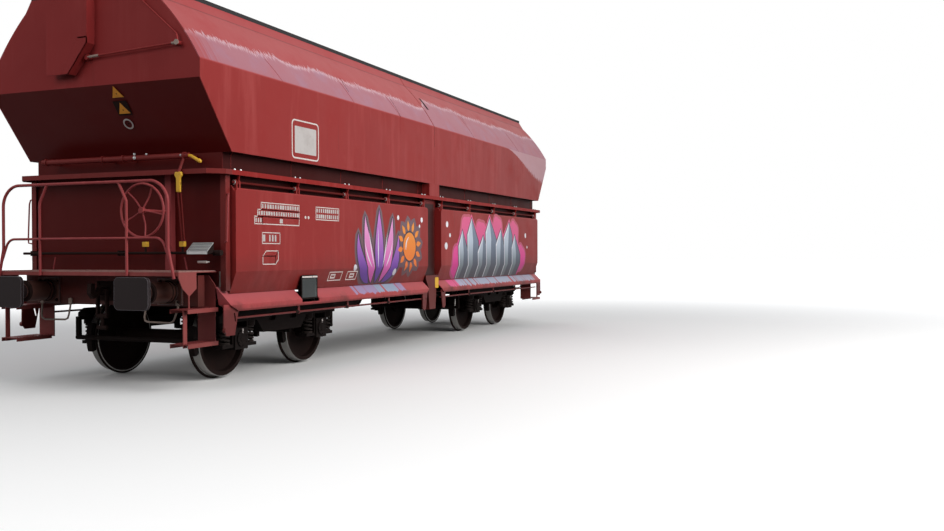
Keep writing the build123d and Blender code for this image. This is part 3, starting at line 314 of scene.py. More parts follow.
# %% Group: old sheet metal
sheet_metal, given, result = new_group("old sheet metal", (("Dents", 1.0), ("Grain", 0.3)), ("Height",))
where = spot_in(sheet_metal)
wide = noise_in(sheet_metal, "3D", Vector=where, Scale=1.3, Detail=2.0, Roughness=0.4)
fine = noise_in(sheet_metal, "3D", Vector=where, Scale=160.0, Detail=2.0, Roughness=0.5)
total = plus(sheet_metal, times(sheet_metal, wide, given["Dents"]),
             times(sheet_metal, fine, times(sheet_metal, given["Grain"], 0.02)))
sheet_metal.links.new(total, result.inputs["Height"])
print("group:", sheet_metal.name)

# %% [markdown]
# A material starts as one Principled shader. Colours are laid over each other like coats, each
# coat through a mask from one of the groups, and the last one goes to Base Color.

# %% Helpers for materials
def mask_of(tree, group, **values):
    """One use of a group, with its own values. Underscores in names stand for spaces."""
    return add(tree, "ShaderNodeGroup", {"node_tree": group}, **values).outputs[0]


def finished(tree, shader, colour, dents=0.1, grain=1.0, depth=0.01):
    """The last colour goes to the shader, and so does a bump: depth in metres for a height of 1."""
    tree.links.new(colour, shader.inputs["Base Color"])
    height = mask_of(tree, sheet_metal, Dents=dents, Grain=grain)
    bump = add(tree, "ShaderNodeBump", Height=height, Distance=depth, Strength=1.0)
    tree.links.new(bump.outputs[0], shader.inputs["Normal"])


print("helpers for materials ready")

# %% [markdown]
# The body's red was once bright. It has gone chalky and brownish, with grey-brown runs below
# every edge. One function mixes it, and each part of the wagon gets its own measure of fading,
# runs and thrown dirt. Roughness follows a cloudy mask of its own, so faded paint shines unevenly.
# Some parts change colour at a place, such as the dark foot of the end wall: those are bands, each
# with its axis, where it starts and is full, its colour and its strength. The dark bands on the end
# wall, the door beam and the middle posts are painted shade.

# %% Old red paint
SOUND_RED = linear(142, 42, 40)
CHALK_RED = linear(176, 82, 80)
DEEP_RED = linear(98, 24, 23)
RUN_BROWN = linear(84, 42, 38)
TRACK_DIRT = linear(56, 36, 32)
PRIMER = linear(64, 28, 25)


def red_paint(name, chalk=0.35, deep=0.3, runs=0.4, dirt=(0.9, 1.5, 0.6), seed=0.0, dents=1.0,
              tint=SOUND_RED, specular=0.14, bands=()):
    """Faded red paint. chalk, deep and runs are strengths; dirt is its two heights and strength."""
    made, tree, shader = new_material(name, specular=specular)
    layers = (
        (DEEP_RED, mask_of(tree, clouds, Scale=0.9, Cover=0.5, Softness=0.4, Seed=seed), deep),
        (CHALK_RED, mask_of(tree, streaks, Spread=5.0, Length=0.5, Cover=0.55, Seed=seed + 3.0), chalk),
        (CHALK_RED, mask_of(tree, clouds, Scale=6.0, Cover=0.35, Softness=0.3, Seed=seed + 5.0), chalk / 2),
        (RUN_BROWN, mask_of(tree, streaks, Spread=14.0, Length=0.8, Cover=0.3, Seed=seed + 7.0), runs),
        (TRACK_DIRT, mask_of(tree, thrown, Full_below=dirt[0], Gone_above=dirt[1], Ragged=0.5), dirt[2]),
        (PRIMER, mask_of(tree, edges, Width=0.006, Cover=0.5), 0.7),
    )
    colour = tint
    for over, mask, strength in layers:
        colour = coat(tree, colour, over, mask, strength)
    for axis, start, full, over, strength in bands:
        place = maths(tree, "ABSOLUTE", spot_in(tree, axis))
        colour = coat(tree, colour, over, ramp(tree, place, start, full), strength)
    dull = mask_of(tree, clouds, Scale=2.5, Cover=0.5, Softness=0.5, Seed=seed + 9.0)
    tree.links.new(plus(tree, 0.42, times(tree, dull, 0.2)), shader.inputs["Roughness"])
    finished(tree, shader, colour, dents, 0.4, 0.02)
    return made, tree, shader, colour


body_paint = red_paint("body_red")[0]
door_paint = red_paint("door_red", chalk=0.3, deep=0.2, seed=20.0)[0]
frame_paint = red_paint("frame_red", chalk=0.1, deep=0.6, runs=0.6, dirt=(0.9, 1.6, 0.85), seed=40.0,
                        dents=0.3, tint=linear(116, 38, 36))[0]
sill_paint = red_paint("sill_red", chalk=0.75, deep=0.1, runs=0.35, dirt=(0.8, 0.95, 0.8), seed=50.0,
                       tint=linear(168, 70, 72), bands=(("Z", 0.885, 0.872, linear(104, 42, 41), 0.7),
                                                        ("Z", 0.90, 1.04, linear(168, 96, 102), 0.45)))[0]
# Painted shade: the band darkens the end wall below 3.35 m, where its slope faces down.
end_paint = red_paint("end_shaded_red", chalk=0.15, deep=0.3, runs=0.4, dirt=(1.1, 1.9, 0.4), seed=60.0,
                      tint=linear(140, 48, 48), specular=0.08,
                      bands=(("Z", 3.352, 3.344, linear(74, 12, 10), 0.88),))[0]
# Painted shade: the band darkens the door beam's faces that lie set back under the side sheet.
beam_paint = red_paint("beam_shaded_red", chalk=0.3, deep=0.2, seed=70.0, specular=0.04,
                       bands=(("Y", 1.452, 1.43, linear(50, 17, 16), 0.94),))[0]
rail_paint = red_paint("rail_red", chalk=0.8, deep=0.1, runs=0.2, dirt=(0.9, 1.3, 0.4), seed=120.0,
                       dents=0.0, tint=linear(150, 64, 66))[0]
step_paint = red_paint("step_red", chalk=0.5, deep=0.3, runs=0.4, dirt=(0.3, 0.7, 0.4), seed=130.0,
                       dents=0.2, tint=linear(142, 70, 68))[0]
# Painted shade: the middle posts are darkened below 2.3 m, deep in their recess; below 1.15 m the bracket
# is brown.
post_paint = red_paint("post_shaded_red", seed=100.0, bands=(("Z", 2.34, 2.28, linear(34, 11, 10), 0.94),
                                                      ("Z", 1.15, 1.13, linear(104, 42, 38), 0.85)))[0]
print("paints:", [paint.name for paint in bpy.data.materials if paint.name.endswith("_red")])

# %% [markdown]
# The shoulders carry a pale lilac band. It is partly paint bleached by the weather and partly a
# painted sheen, the sky's reflection laid into the colour. It starts in a sharp line at the knuckle
# and stops part of the way up, in a ragged edge with fine upright drips. Just under that edge it is
# palest. It begins raggedly near the corner, stands higher on the far half of the wagon, and
# towards the far end it has also run down over the upright sheet. The group gives both masks; the
# height of the edge wanders with a noise along the wagon.

# %% Group: bleached band with painted sheen
bleach_and_sheen, given, result = new_group(
    "bleached band and sheen", (("Foot", 3.556), ("Edge", 3.885), ("Drips", 0.21), ("Droop", 0.52)), ("Mask", "Lip"))
along = spot_in(bleach_and_sheen, "X")
height = spot_in(bleach_and_sheen, "Z")
drips = noise_in(bleach_and_sheen, "1D", W=along, Scale=26.0, Detail=3.0, Roughness=0.75)
wander = noise_in(bleach_and_sheen, "1D", W=along, Scale=1.1, Detail=2.0, Roughness=0.5)
shifts = minus(bleach_and_sheen, plus(bleach_and_sheen, drips, wander), 1.0)
higher = times(bleach_and_sheen, ramp(bleach_and_sheen, along, -0.02, 0.25), 0.13)
edge_z = plus(bleach_and_sheen, plus(bleach_and_sheen, given["Edge"], higher), times(bleach_and_sheen, shifts, given["Drips"]))
under_edge = minus(bleach_and_sheen, edge_z, height)
droop = times(bleach_and_sheen, ramp(bleach_and_sheen, along, 3.3, 5.7), given["Droop"])
foot_z = minus(bleach_and_sheen, given["Foot"], times(bleach_and_sheen, droop, plus(bleach_and_sheen, 0.7, times(bleach_and_sheen, drips, 0.6))))
starts = ramp(bleach_and_sheen, plus(bleach_and_sheen, along, times(bleach_and_sheen, drips, 0.9)), -5.36, -5.10)
starts = plus(bleach_and_sheen, times(bleach_and_sheen, starts, 0.75), 0.25)
above_foot = ramp(bleach_and_sheen, minus(bleach_and_sheen, height, foot_z), -0.004, 0.012)
inside = times(bleach_and_sheen, times(bleach_and_sheen, ramp(bleach_and_sheen, under_edge, 0.0, 0.012), above_foot), starts)
bleach_and_sheen.links.new(inside, result.inputs["Mask"])
bleach_and_sheen.links.new(times(bleach_and_sheen, inside, ramp(bleach_and_sheen, under_edge, 0.07, 0.0)), result.inputs["Lip"])
print("group:", bleach_and_sheen.name)

# %% Side sheets with bleached shoulders, painted sheen and painted shade
side_paint, tree, shader, colour = red_paint("side_red_sheen_and_shade", chalk=0.35, deep=0.25, seed=80.0)
height = spot_in(tree, "Z")
across = maths(tree, "ABSOLUTE", spot_in(tree, "Y"))
band = add(tree, "ShaderNodeGroup", {"node_tree": bleach_and_sheen}).outputs
# The band's lilac is bleached paint with a painted sky sheen in it.
lilac = coat(tree, linear(160, 104, 116), linear(152, 118, 140),
             mask_of(tree, clouds, Scale=2.6, Cover=0.5, Softness=0.3, Seed=84.0))
lilac = coat(tree, lilac, linear(168, 84, 92),
             mask_of(tree, streaks, Spread=3.0, Length=1.4, Cover=0.45, Seed=86.0), 0.6)
# Painted shade: the recess under the overhanging side sheet is darkened, and so is a thin line at the fold
# at the top of the shoulder.
recess_shade = times(tree, ramp(tree, across, 1.472, 1.462), ramp(tree, height, 2.75, 2.71))
spilled = times(tree, band["Mask"], ramp(tree, height, 3.556, 3.54))
fold_shade = times(tree, ramp(tree, height, 4.226, 4.236), ramp(tree, height, 4.256, 4.246))
for over, mask, strength in (
        (linear(62, 20, 19), recess_shade, 0.9),
        (linear(162, 62, 64), ramp(tree, height, 3.53, 3.56), 0.8),
        (lilac, band["Mask"], 0.92),
        (linear(206, 174, 182), band["Lip"], 0.85),
        (linear(206, 166, 172), spilled, 0.6),
        (linear(120, 62, 64), mask_of(tree, streaks, Spread=16.0, Length=0.9, Cover=0.3, Seed=90.0), 0.45),
        (linear(112, 50, 50), fold_shade, 0.6)):
    colour = coat(tree, colour, over, mask, strength)
tree.links.new(colour, shader.inputs["Base Color"])
print("paint:", side_paint.name)

# %% [markdown]
# A buffer's casing is painted, and its head is bare and greasy. The right-hand sill also caught
# spray paint that ran down from the doors above it. That is one more coat of the sill's paint:
# patches between chosen places along the wagon, split by gaps.

# %% Buffers and the sprayed sill
GREASE = linear(26, 20, 22)
buffer_paint, tree, shader, colour = red_paint(
    "buffer_red", chalk=0.05, deep=0.6, runs=0.6, dirt=(1.3, 1.8, 0.7), seed=110.0, dents=0.1,
    tint=linear(138, 92, 82), bands=(("X", 6.045, 6.06, GREASE, 0.95),))
colour = coat(tree, colour, linear(128, 124, 130), mask_of(tree, edges, Width=0.012, Cover=1.0), 0.8)
tree.links.new(colour, shader.inputs["Base Color"])

spill_paint = sill_paint.copy()
spill_paint.name = "sill_red_with_spills"
tree = spill_paint.node_tree
shader = tree.nodes["Principled BSDF"]
colour = shader.inputs["Base Color"].links[0].from_socket
along = spot_in(tree, "X")
blots = noise_in(tree, "1D", W=along, Scale=9.0, Detail=3.0, Roughness=0.6)
upper = ramp(tree, plus(tree, spot_in(tree, "Z"), times(tree, blots, 0.10)), 0.985, 0.995)
gaps = ramp(tree, blots, 0.36, 0.40)
for x0, x1, spray_colour in ((-2.62, -1.05, linear(150, 140, 176)), (-1.95, -1.30, linear(140, 156, 176)),
                             (0.60, 1.25, linear(214, 92, 140)), (1.02, 5.12, linear(160, 174, 194))):
    reach = times(tree, ramp(tree, along, x0 - 0.01, x0 + 0.03), ramp(tree, along, x1 + 0.01, x1 - 0.03))
    colour = coat(tree, colour, spray_colour, times(tree, times(tree, reach, upper), gaps), 0.88)
tree.links.new(colour, shader.inputs["Base Color"])
print("paints:", buffer_paint.name, spill_paint.name)

# %% [markdown]
# Everything near the wheels wears brake dust: a nearly black brown, with rust where water runs.
# The wheel discs are the same, but their treads are polished by the rail. A wheel's tread is
# found by its distance from the axle, which is worked out from the axle's place.

# %% Steel near the track
BRAKE_DUST = linear(19, 13, 13)
RUST = linear(56, 31, 24)
OLD_STEEL = linear(46, 42, 41)


def joint_place(name):
    """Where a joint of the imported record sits, in metres."""
    return next(j["pos_m"] for j in frame["record"]["behaviour"]["joints"] if j["name"] == name)


def dusty_steel(name, tint, rust=0.5, seed=0.0, roughness=0.75):
    """Dark steel under brake dust, with cloudy rust."""
    made, tree, shader = new_material(name, roughness=roughness, specular=0.06)
    colour = coat(tree, tint, RUST, mask_of(tree, clouds, Scale=5.0, Cover=0.45, Softness=0.3, Seed=seed),
                  rust)
    dust = mask_of(tree, clouds, Scale=1.7, Cover=0.6, Softness=0.4, Seed=seed + 2.0)
    colour = coat(tree, colour, BRAKE_DUST, dust, 0.6)
    colour = coat(tree, colour, OLD_STEEL, mask_of(tree, edges, Width=0.005, Cover=0.5), 0.6)
    finished(tree, shader, colour, 0.2, 1.0, 0.02)
    return made, tree, shader, colour


under_steel = dusty_steel("under_frame_steel", linear(40, 27, 25), rust=0.3)[0]
bogie_steel = dusty_steel("bogie_steel", linear(26, 20, 19), rust=0.22, seed=11.0)[0]
box_steel = dusty_steel("axle_box_steel", linear(30, 25, 24), rust=0.2, seed=13.0)[0]
wheel_steel, tree, shader, colour = dusty_steel("wheel_steel", linear(34, 24, 22), rust=0.35, seed=17.0)

PIVOT_X = abs(joint_place("bogie_plain_end_swing")[0])
AXLE_X = abs(abs(joint_place("wheelset_plain_end_outer_roll")[0]) - PIVOT_X)
AXLE_Z = joint_place("wheelset_plain_end_outer_roll")[2]
TREAD_STARTS = (0.4475, 0.4525)
TREAD_STOPS = (0.466, 0.463)
from_pivot = minus(tree, maths(tree, "ABSOLUTE", spot_in(tree, "X")), PIVOT_X)
from_axle = minus(tree, maths(tree, "ABSOLUTE", from_pivot), AXLE_X)
above_axle = minus(tree, spot_in(tree, "Z"), AXLE_Z)
radius = maths(tree, "SQRT",
               plus(tree, times(tree, from_axle, from_axle), times(tree, above_axle, above_axle)))
tread = times(tree, ramp(tree, radius, *TREAD_STARTS), ramp(tree, radius, *TREAD_STOPS))
tree.links.new(coat(tree, colour, linear(150, 148, 145), tread, 0.9), shader.inputs["Base Color"])
tree.links.new(times(tree, tread, 0.9), shader.inputs["Metallic"])
tree.links.new(minus(tree, 0.75, times(tree, tread, 0.45)), shader.inputs["Roughness"])
print("steels:", under_steel.name, bogie_steel.name, box_steel.name, wheel_steel.name)
print("pivot", PIVOT_X, "axle", AXLE_X, AXLE_Z)

# %% [markdown]
# The inside of the hopper is scoured by the load, so the saddle is bare steel with brown patches
# and bright upright streaks. The coaming round the opening is a dull black.

# %% Inside of the hopper
scoured, tree, shader = new_material("scoured_steel", metallic=0.6)
colour = coat(tree, linear(128, 118, 110), linear(104, 70, 52),
              mask_of(tree, clouds, Scale=3.0, Cover=0.55, Softness=0.3), 0.8)
colour = coat(tree, colour, linear(160, 155, 148),
              mask_of(tree, streaks, Spread=10.0, Length=1.0, Cover=0.4), 0.6)
finished(tree, shader, colour, 0.5, 0.6, 0.02)

coaming, tree, shader = new_material("coaming_black", roughness=0.7, specular=0.3)
colour = coat(tree, linear(30, 28, 30), linear(78, 70, 70),
              mask_of(tree, clouds, Scale=7.0, Cover=0.35, Softness=0.3), 0.6)
finished(tree, shader, colour, 0.2, 0.6, 0.02)
print("inside:", scoured.name, coaming.name)

# %% [markdown]
# Each CAD node now gets its finish. A short table names the material for each kind of node, by
# the first words of the node's name.

# %% Dress the nodes
finish_by_name = [
    ("wheelset", wheel_steel), ("bogie_frame", bogie_steel), ("axle_boxes", box_steel),
    ("springs", bogie_steel), ("brake_rigging", bogie_steel), ("brake_gear", under_steel),
    ("draw_gear", under_steel), ("centre_sill", under_steel), ("bolsters", under_steel),
    ("saddle_webs", under_steel), ("saddle_floor", scoured), ("loading_rim", coaming),
    ("cross_ties", frame_paint), ("headstock", frame_paint), ("platform", step_paint),
    ("corner_steps", step_paint), ("end_beams", frame_paint), ("buffers", buffer_paint),
    ("control_shaft", under_steel), ("control_tube", frame_paint), ("corner_posts", frame_paint),
    ("handrails", rail_paint), ("handwheel", rail_paint), ("sill_right", spill_paint), ("sill", sill_paint),
    ("door_beam", beam_paint), ("document_holder", bogie_steel), ("middle_posts", post_paint),
    ("side_wall", side_paint), ("end_wall", end_paint), ("end_linkage", end_paint),
    ("door_left", door_paint), ("door_right", door_paint), ("", body_paint),
]
for name, node in nodes.items():
    chosen = next(material for start, material in finish_by_name if name.startswith(start))
    node.data.materials.clear()
    node.data.materials.append(chosen)
print("dressed:", len(nodes), "nodes")

# %% [markdown]
# Small fittings are meshes. Five helpers cover nearly all of them: a box between two corners, a
# straight rod, a tube that follows a line of points, a bolt with its washer, and a flat shape
# pushed along. The larger ones also get rounded edges from a Bevel modifier, because a perfectly
# sharp edge never catches light.

# %% Helpers for meshes
ENDS = (("brake_end", -1), ("plain_end", 1))
SIDES = (-1, 1)
CORNERS = tuple(product(SIDES, SIDES))
BODY = "wagon_body"
SHARP_ANGLE = math.radians(35)
BEVEL_ANGLE = math.radians(40)


def box_into(bm, low, high):
    """A box between two corners."""
    for vert in bmesh.ops.create_cube(bm, size=1.0)["verts"]:
        vert.co = Vector([low[i] if vert.co[i] < 0 else high[i] for i in range(3)])


def rod_into(bm, start, end, radius, sides=12, end_radius=None):
    """A straight rod, or a taper when the end radius differs."""
    a = Vector(start)
    b = Vector(end)
    turn = (b - a).to_track_quat("Z", "Y").to_matrix().to_4x4()
    bmesh.ops.create_cone(
        bm, cap_ends=True, segments=sides, radius1=radius,
        radius2=radius if end_radius is None else end_radius,
        depth=(b - a).length, matrix=Matrix.Translation((a + b) / 2) @ turn)


def tube_into(bm, points, radius, sides=8):
    """A tube along a line of points. Each ring is square to the line, and both ends are closed."""
    points = [Vector(point) for point in points]
    across = (points[1] - points[0]).orthogonal().normalized()
    rings = []
    for i, point in enumerate(points):
        ahead = (points[min(i + 1, len(points) - 1)] - points[max(i - 1, 0)]).normalized()
        across = (across - ahead * across.dot(ahead)).normalized()
        up = ahead.cross(across)
        turns = [k * 2 * math.pi / sides for k in range(sides)]
        rings.append([bm.verts.new(point + (across * math.cos(t) + up * math.sin(t)) * radius)
                      for t in turns])
    for low, high in zip(rings, rings[1:]):
        for k in range(sides):
            n = (k + 1) % sides
            bm.faces.new((low[k], low[n], high[n], high[k]))
    bm.faces.new(list(reversed(rings[0])))
    bm.faces.new(rings[-1])


def bolt_into(bm, place, facing, size=0.014):
    """A washer and a six-sided head that stand on a surface."""
    foot = Vector(place)
    out = Vector(facing).normalized()
    rod_into(bm, foot - out * size * 0.2, foot + out * size * 0.2, size, 14)
    rod_into(bm, foot + out * size * 0.2, foot + out * size * 0.85, size * 0.84, 6, size * 0.76)
    rod_into(bm, foot + out * size * 0.85, foot + out * size * 1.15, size * 0.42, 8, size * 0.36)


def prism_into(bm, points, shift):
    """A flat shape given as points in space, pushed along by a vector."""
    near = [bm.verts.new(Vector(point)) for point in points]
    far = [bm.verts.new(Vector(point) + Vector(shift)) for point in points]
    bm.faces.new(near)
    bm.faces.new(list(reversed(far)))
    for k in range(len(points)):
        n = (k + 1) % len(points)
        bm.faces.new((near[k], far[k], far[n], near[n]))


def rounded_outline(x0, x1, z0, z1, radius, steps=5):
    """The (x, z) points of a rectangle with round corners."""
    corners = ((x1 - radius, z1 - radius, 0), (x0 + radius, z1 - radius, 90),
               (x0 + radius, z0 + radius, 180), (x1 - radius, z0 + radius, 270))
    points = []
    for cx, cz, first in corners:
        for k in range(steps + 1):
            t = math.radians(first + 90.0 * k / steps)
            points.append((cx + radius * math.cos(t), cz + radius * math.sin(t)))
    return points


def piece_from(name, bm, material, body=BODY, bevel=0.0, hides=None):
    """Turn the mesh into a piece that rides on a body, with its material and any soft edges."""
    bmesh.ops.recalc_face_normals(bm, faces=bm.faces)
    for face in bm.faces:
        face.smooth = True
    mesh = bpy.data.meshes.new(name)
    bm.to_mesh(mesh)
    bm.free()
    mesh.set_sharp_from_angle(angle=SHARP_ANGLE)
    mesh.materials.append(material)
    made = bpy.data.objects.new(name, mesh)
    scene.collection.objects.link(made)
    if bevel > 0:
        soft = made.modifiers.new("soft_edges", "BEVEL")
        soft.width = bevel
        soft.segments = 2
        soft.limit_method = "ANGLE"
        soft.angle_limit = BEVEL_ANGLE
    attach(made, body)
    if hides:
        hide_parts(hides)


HINGE_Y = abs(joint_place("door_left_plain_end_open")[1])
HINGE_Z = joint_place("door_left_plain_end_open")[2]
print("doors hinge at", HINGE_Y, HINGE_Z)

# %% [markdown]
# The fittings need a few finishes of their own: zinc on the bolts and the pedal, yellow on the
# handles, white and grey on the markings, and dark steel on the springs. Zinc has a pattern of
# crystals, so a Voronoi texture shifts its grey from cell to cell.

# %% Finishes of the fittings
zinc, tree, shader = new_material("zinc_coat", metallic=0.6)
crystal = add(tree, "ShaderNodeTexVoronoi", Vector=spot_in(tree), Scale=90.0).outputs["Color"]
cells = add(tree, "ShaderNodeSeparateColor", Color=crystal).outputs[0]
colour = coat(tree, linear(176, 178, 180), linear(206, 207, 207), cells)
dirt = mask_of(tree, clouds, Scale=5.0, Cover=0.42, Softness=0.3)
colour = coat(tree, colour, linear(112, 92, 84), dirt, 0.6)
finished(tree, shader, colour)


def worn_paint(name, colour, under, wear=0.5, dirt=0.5, roughness=0.5):
    """Plain paint on a small piece, worn to what is under it on the edges, and dirty."""
    made, tree, shader = new_material(name, roughness=roughness, specular=0.4)
    mix = coat(tree, colour, under, mask_of(tree, edges, Width=0.004, Cover=0.6), wear)
    mix = coat(tree, mix, under, mask_of(tree, clouds, Scale=18.0, Cover=0.3, Softness=0.2), wear)
    mix = coat(tree, mix, linear(92, 72, 62),
               mask_of(tree, clouds, Scale=4.0, Cover=0.5, Softness=0.4, Seed=3.0), dirt)
    finished(tree, shader, mix)
    return made


yellow_paint = worn_paint("handle_yellow", linear(226, 176, 52), linear(120, 84, 60))
white_paint = worn_paint("marking_white", linear(214, 206, 202), linear(150, 96, 92), wear=0.6, dirt=0.3)
sign_orange = worn_paint("sign_orange", linear(226, 150, 40), linear(120, 60, 44), wear=0.4, dirt=0.3)
label_grey = worn_paint("label_grey", linear(190, 184, 182), linear(140, 92, 88), wear=0.5, dirt=0.4)
spring_steel = dusty_steel("spring_steel", linear(46, 40, 38), rust=0.35, seed=23.0, roughness=0.6)[0]
print("fittings:", zinc.name, yellow_paint.name, white_paint.name, sign_orange.name, spring_steel.name)

# %% [markdown]
# Each bogie stands on eight coil springs. CAD holds them as plain cylinders of their outer size.
# Here a round wire climbs a helix that is pressed flat at both ends, as real springs are ground
# flat, with a thinner spring inside it. The wire's radius and turns are a spring maker's choices;
# the height and the place come from the node that the coils replace.

# %% Coil springs
COIL_RADIUS = 0.058
WIRE_RADIUS = 0.0135
COIL_TURNS = 4.5
INNER_RADIUS, INNER_WIRE, INNER_TURNS = 0.034, 0.007, 6.5
SPRING_INSET = 0.072
SPRING_FROM_AXLE = 0.235
SEAT_RADIUS = 0.07


def coil_line(centre_x, centre_y, low, high, radius, turns, way=1):
    """The points of a helix whose first and last half turn lie nearly flat."""
    steps = int(turns * 18)
    points = []
    for k in range(steps + 1):
        share = k / steps
        flat = 0.5 / turns
        rise = min(max((share - flat) / (1 - 2 * flat), 0.0), 1.0)
        rise = 0.04 * share + 0.96 * rise
        t = way * share * turns * 2 * math.pi
        x, y = centre_x + radius * math.cos(t), centre_y + radius * math.sin(t)
        points.append((x, y, low + (high - low) * rise))
    return points


for end, sign in ENDS:
    low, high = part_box(f"springs_{end}")
    z0, z1 = low[2] + WIRE_RADIUS, high[2] - WIRE_RADIUS
    bm = bmesh.new()
    for axle, way, side in product((-AXLE_X, AXLE_X), SIDES, SIDES):
        x = sign * PIVOT_X + axle + way * SPRING_FROM_AXLE
        y = side * (high[1] - SPRING_INSET)
        tube_into(bm, coil_line(x, y, z0, z1, COIL_RADIUS, COIL_TURNS, side), WIRE_RADIUS, 8)
        tube_into(bm, coil_line(x, y, z0, z1, INNER_RADIUS, INNER_TURNS, -side), INNER_WIRE, 6)
        rod_into(bm, (x, y, low[2] - 0.001), (x, y, low[2] + 0.005), SEAT_RADIUS, 24)
    piece_from(f"coil_springs_{end}", bm, spring_steel, f"bogie_{end}", hides=f"springs_{end}")
print("coil springs:", COIL_TURNS, "turns each")

# %% [markdown]
# Bolts show as pale dots from far away, so they matter more than their size says. They come in
# pairs on the door beam above each gusset, in rows on the buffer plates, and round the covers of
# the axle boxes. The gussets' places are worked out from the doors' ends, as in the CAD model.

# %% Bolts
door_low, door_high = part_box("door_right_plain_end")
GUSSET_MARGIN = 0.092
first = door_low[0] + GUSSET_MARGIN
pitch = (door_high[0] - GUSSET_MARGIN - first) / 4
gusset_xs = [side * (first + k * pitch) for k in range(5) for side in SIDES]
BEAM_OVER_HINGE = 0.131
beam_top = HINGE_Z + BEAM_OVER_HINGE
bm = bmesh.new()
for x, side, shift in product(gusset_xs, SIDES, (-0.055, 0.055)):
    y = side * (HINGE_Y + 0.025)
    bolt_into(bm, (x + shift, y, beam_top), (0, 0, 1), 0.017)
    bolt_into(bm, (x + shift, y, beam_top - 0.008), (0, 0, -1), 0.014)
piece_from("beam_bolts", bm, zinc)

head_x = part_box("headstock_plain_end")[1][0]
BUFFER_Y = 0.875
BUFFER_Z = 1.078
bm = bmesh.new()
for sx, sy in CORNERS:
    for dy, dz in product((-0.125, 0.125), (-0.11, 0.11)):
        bolt_into(bm, (sx * (head_x + 0.022), sy * BUFFER_Y + dy, BUFFER_Z + dz), (sx, 0, 0), 0.02)
for sx, dy, dz in product(SIDES, (-0.12, 0.12), (-0.08, 0.08)):
    bolt_into(bm, (sx * (head_x + 0.02), dy, BUFFER_Z + dz), (sx, 0, 0), 0.016)
piece_from("buffer_bolts", bm, under_steel)

COVER_BOLTS = 0.078
for end, sign in ENDS:
    face_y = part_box(f"axle_boxes_{end}")[1][1]
    bm = bmesh.new()
    for axle, side in product((-AXLE_X, AXLE_X), SIDES):
        x = sign * PIVOT_X + axle
        for t in (math.radians(30 + 60 * k) for k in range(6)):
            place = (x + COVER_BOLTS * math.cos(t), side * face_y, AXLE_Z + COVER_BOLTS * math.sin(t))
            bolt_into(bm, place, (0, side, 0), 0.009)
        ends = [(x, side * (face_y + out), AXLE_Z) for out in (-0.002, 0.006)]
        rod_into(bm, *ends, 0.045, 24, 0.04)
    piece_from(f"axle_cover_bolts_{end}", bm, box_steel, f"bogie_{end}")
print("bolts on", len(gusset_xs), "gussets, 4 buffers and 8 axle boxes")

# %% [markdown]
# The signs and data panels of a wagon are kept here as blank shapes: a framed plate with round
# corners high on each side, ruled tables on the doors, and three small plates on the sloping
# end. A painted frame is a thin strip that stands less than a millimetre proud.

# %% Blank plate on each side
SIDE_Y = 1.48
DOOR_Y = 1.483
PLATE_X0, PLATE_X1 = -4.17, -3.55
PLATE_Z0, PLATE_Z1 = 2.66, 3.14


def ring_into(bm, outer, inner, y0, y1):
    """A flat ring between two outlines with as many (x, z) points each."""
    rings = [[bm.verts.new((x, y, z)) for x, z in line] for y in (y0, y1) for line in (outer, inner)]
    for k in range(len(outer)):
        n = (k + 1) % len(outer)
        for a, b in ((0, 1), (3, 2), (2, 0), (1, 3)):
            bm.faces.new((rings[a][k], rings[a][n], rings[b][n], rings[b][k]))


FRAME_WIDE = 0.018
PAINT = 0.0008
bm = bmesh.new()
panel = bmesh.new()
for side in SIDES:
    face_y = side * SIDE_Y
    x0, x1 = sorted((-side * PLATE_X0, -side * PLATE_X1))
    outer = rounded_outline(x0, x1, PLATE_Z0, PLATE_Z1, 0.06)
    inner = rounded_outline(x0 + FRAME_WIDE, x1 - FRAME_WIDE, PLATE_Z0 + FRAME_WIDE, PLATE_Z1 - FRAME_WIDE,
                            0.045)
    ring_into(bm, outer, inner, face_y, face_y + side * 0.0012)
    field = rounded_outline(x0 + 0.065, x1 - 0.06, PLATE_Z0 + 0.07, PLATE_Z1 - 0.08, 0.012)
    prism_into(panel, [(x, face_y + side * PAINT / 4, z) for x, z in field], (0, side * PAINT, 0))
piece_from("side_plate_frames", bm, white_paint)
piece_from("side_plate_fields", panel, label_grey)
print("plate", round(PLATE_X1 - PLATE_X0, 2), "by", round(PLATE_Z1 - PLATE_Z0, 2), "m")

# %% [markdown]
# Each table is listed by its corner places and its number of rows and columns. The same list
# dresses the far side of the wagon, turned half round, as a painter would do with one stencil.

# %% Ruled tables on the doors
tables = [
    # x0, x1, z0, z1, rows, columns, share of the cells that is filled
    (-4.82, -4.02, 2.003, 2.085, 1, 15, 1.0),
    (-4.89, -4.02, 1.923, 2.003, 1, 17, 1.0),
    (-4.95, -4.80, 1.837, 1.923, 1, 3, 1.0),
    (-4.80, -4.02, 1.837, 1.923, 1, 9, 0.12),
    (-3.63, -3.06, 1.926, 2.084, 2, 11, 1.0),
    (-4.80, -4.44, 1.612, 1.738, 1, 6, 0.7),
]
LINE = 0.011
DOT_XS, DOT_Z, DOT_RADIUS = (-3.875, -3.805), 1.944, 0.02
# A box drawn in outline, as (x, z) points: its front, its lid and its side.
drawn_box = (
    [(-4.79, 1.371), (-4.53, 1.371), (-4.53, 1.465), (-4.79, 1.465)],
    [(-4.79, 1.465), (-4.53, 1.465), (-4.475, 1.525), (-4.72, 1.525)],
    [(-4.53, 1.371), (-4.475, 1.425), (-4.475, 1.525), (-4.53, 1.465)],
)


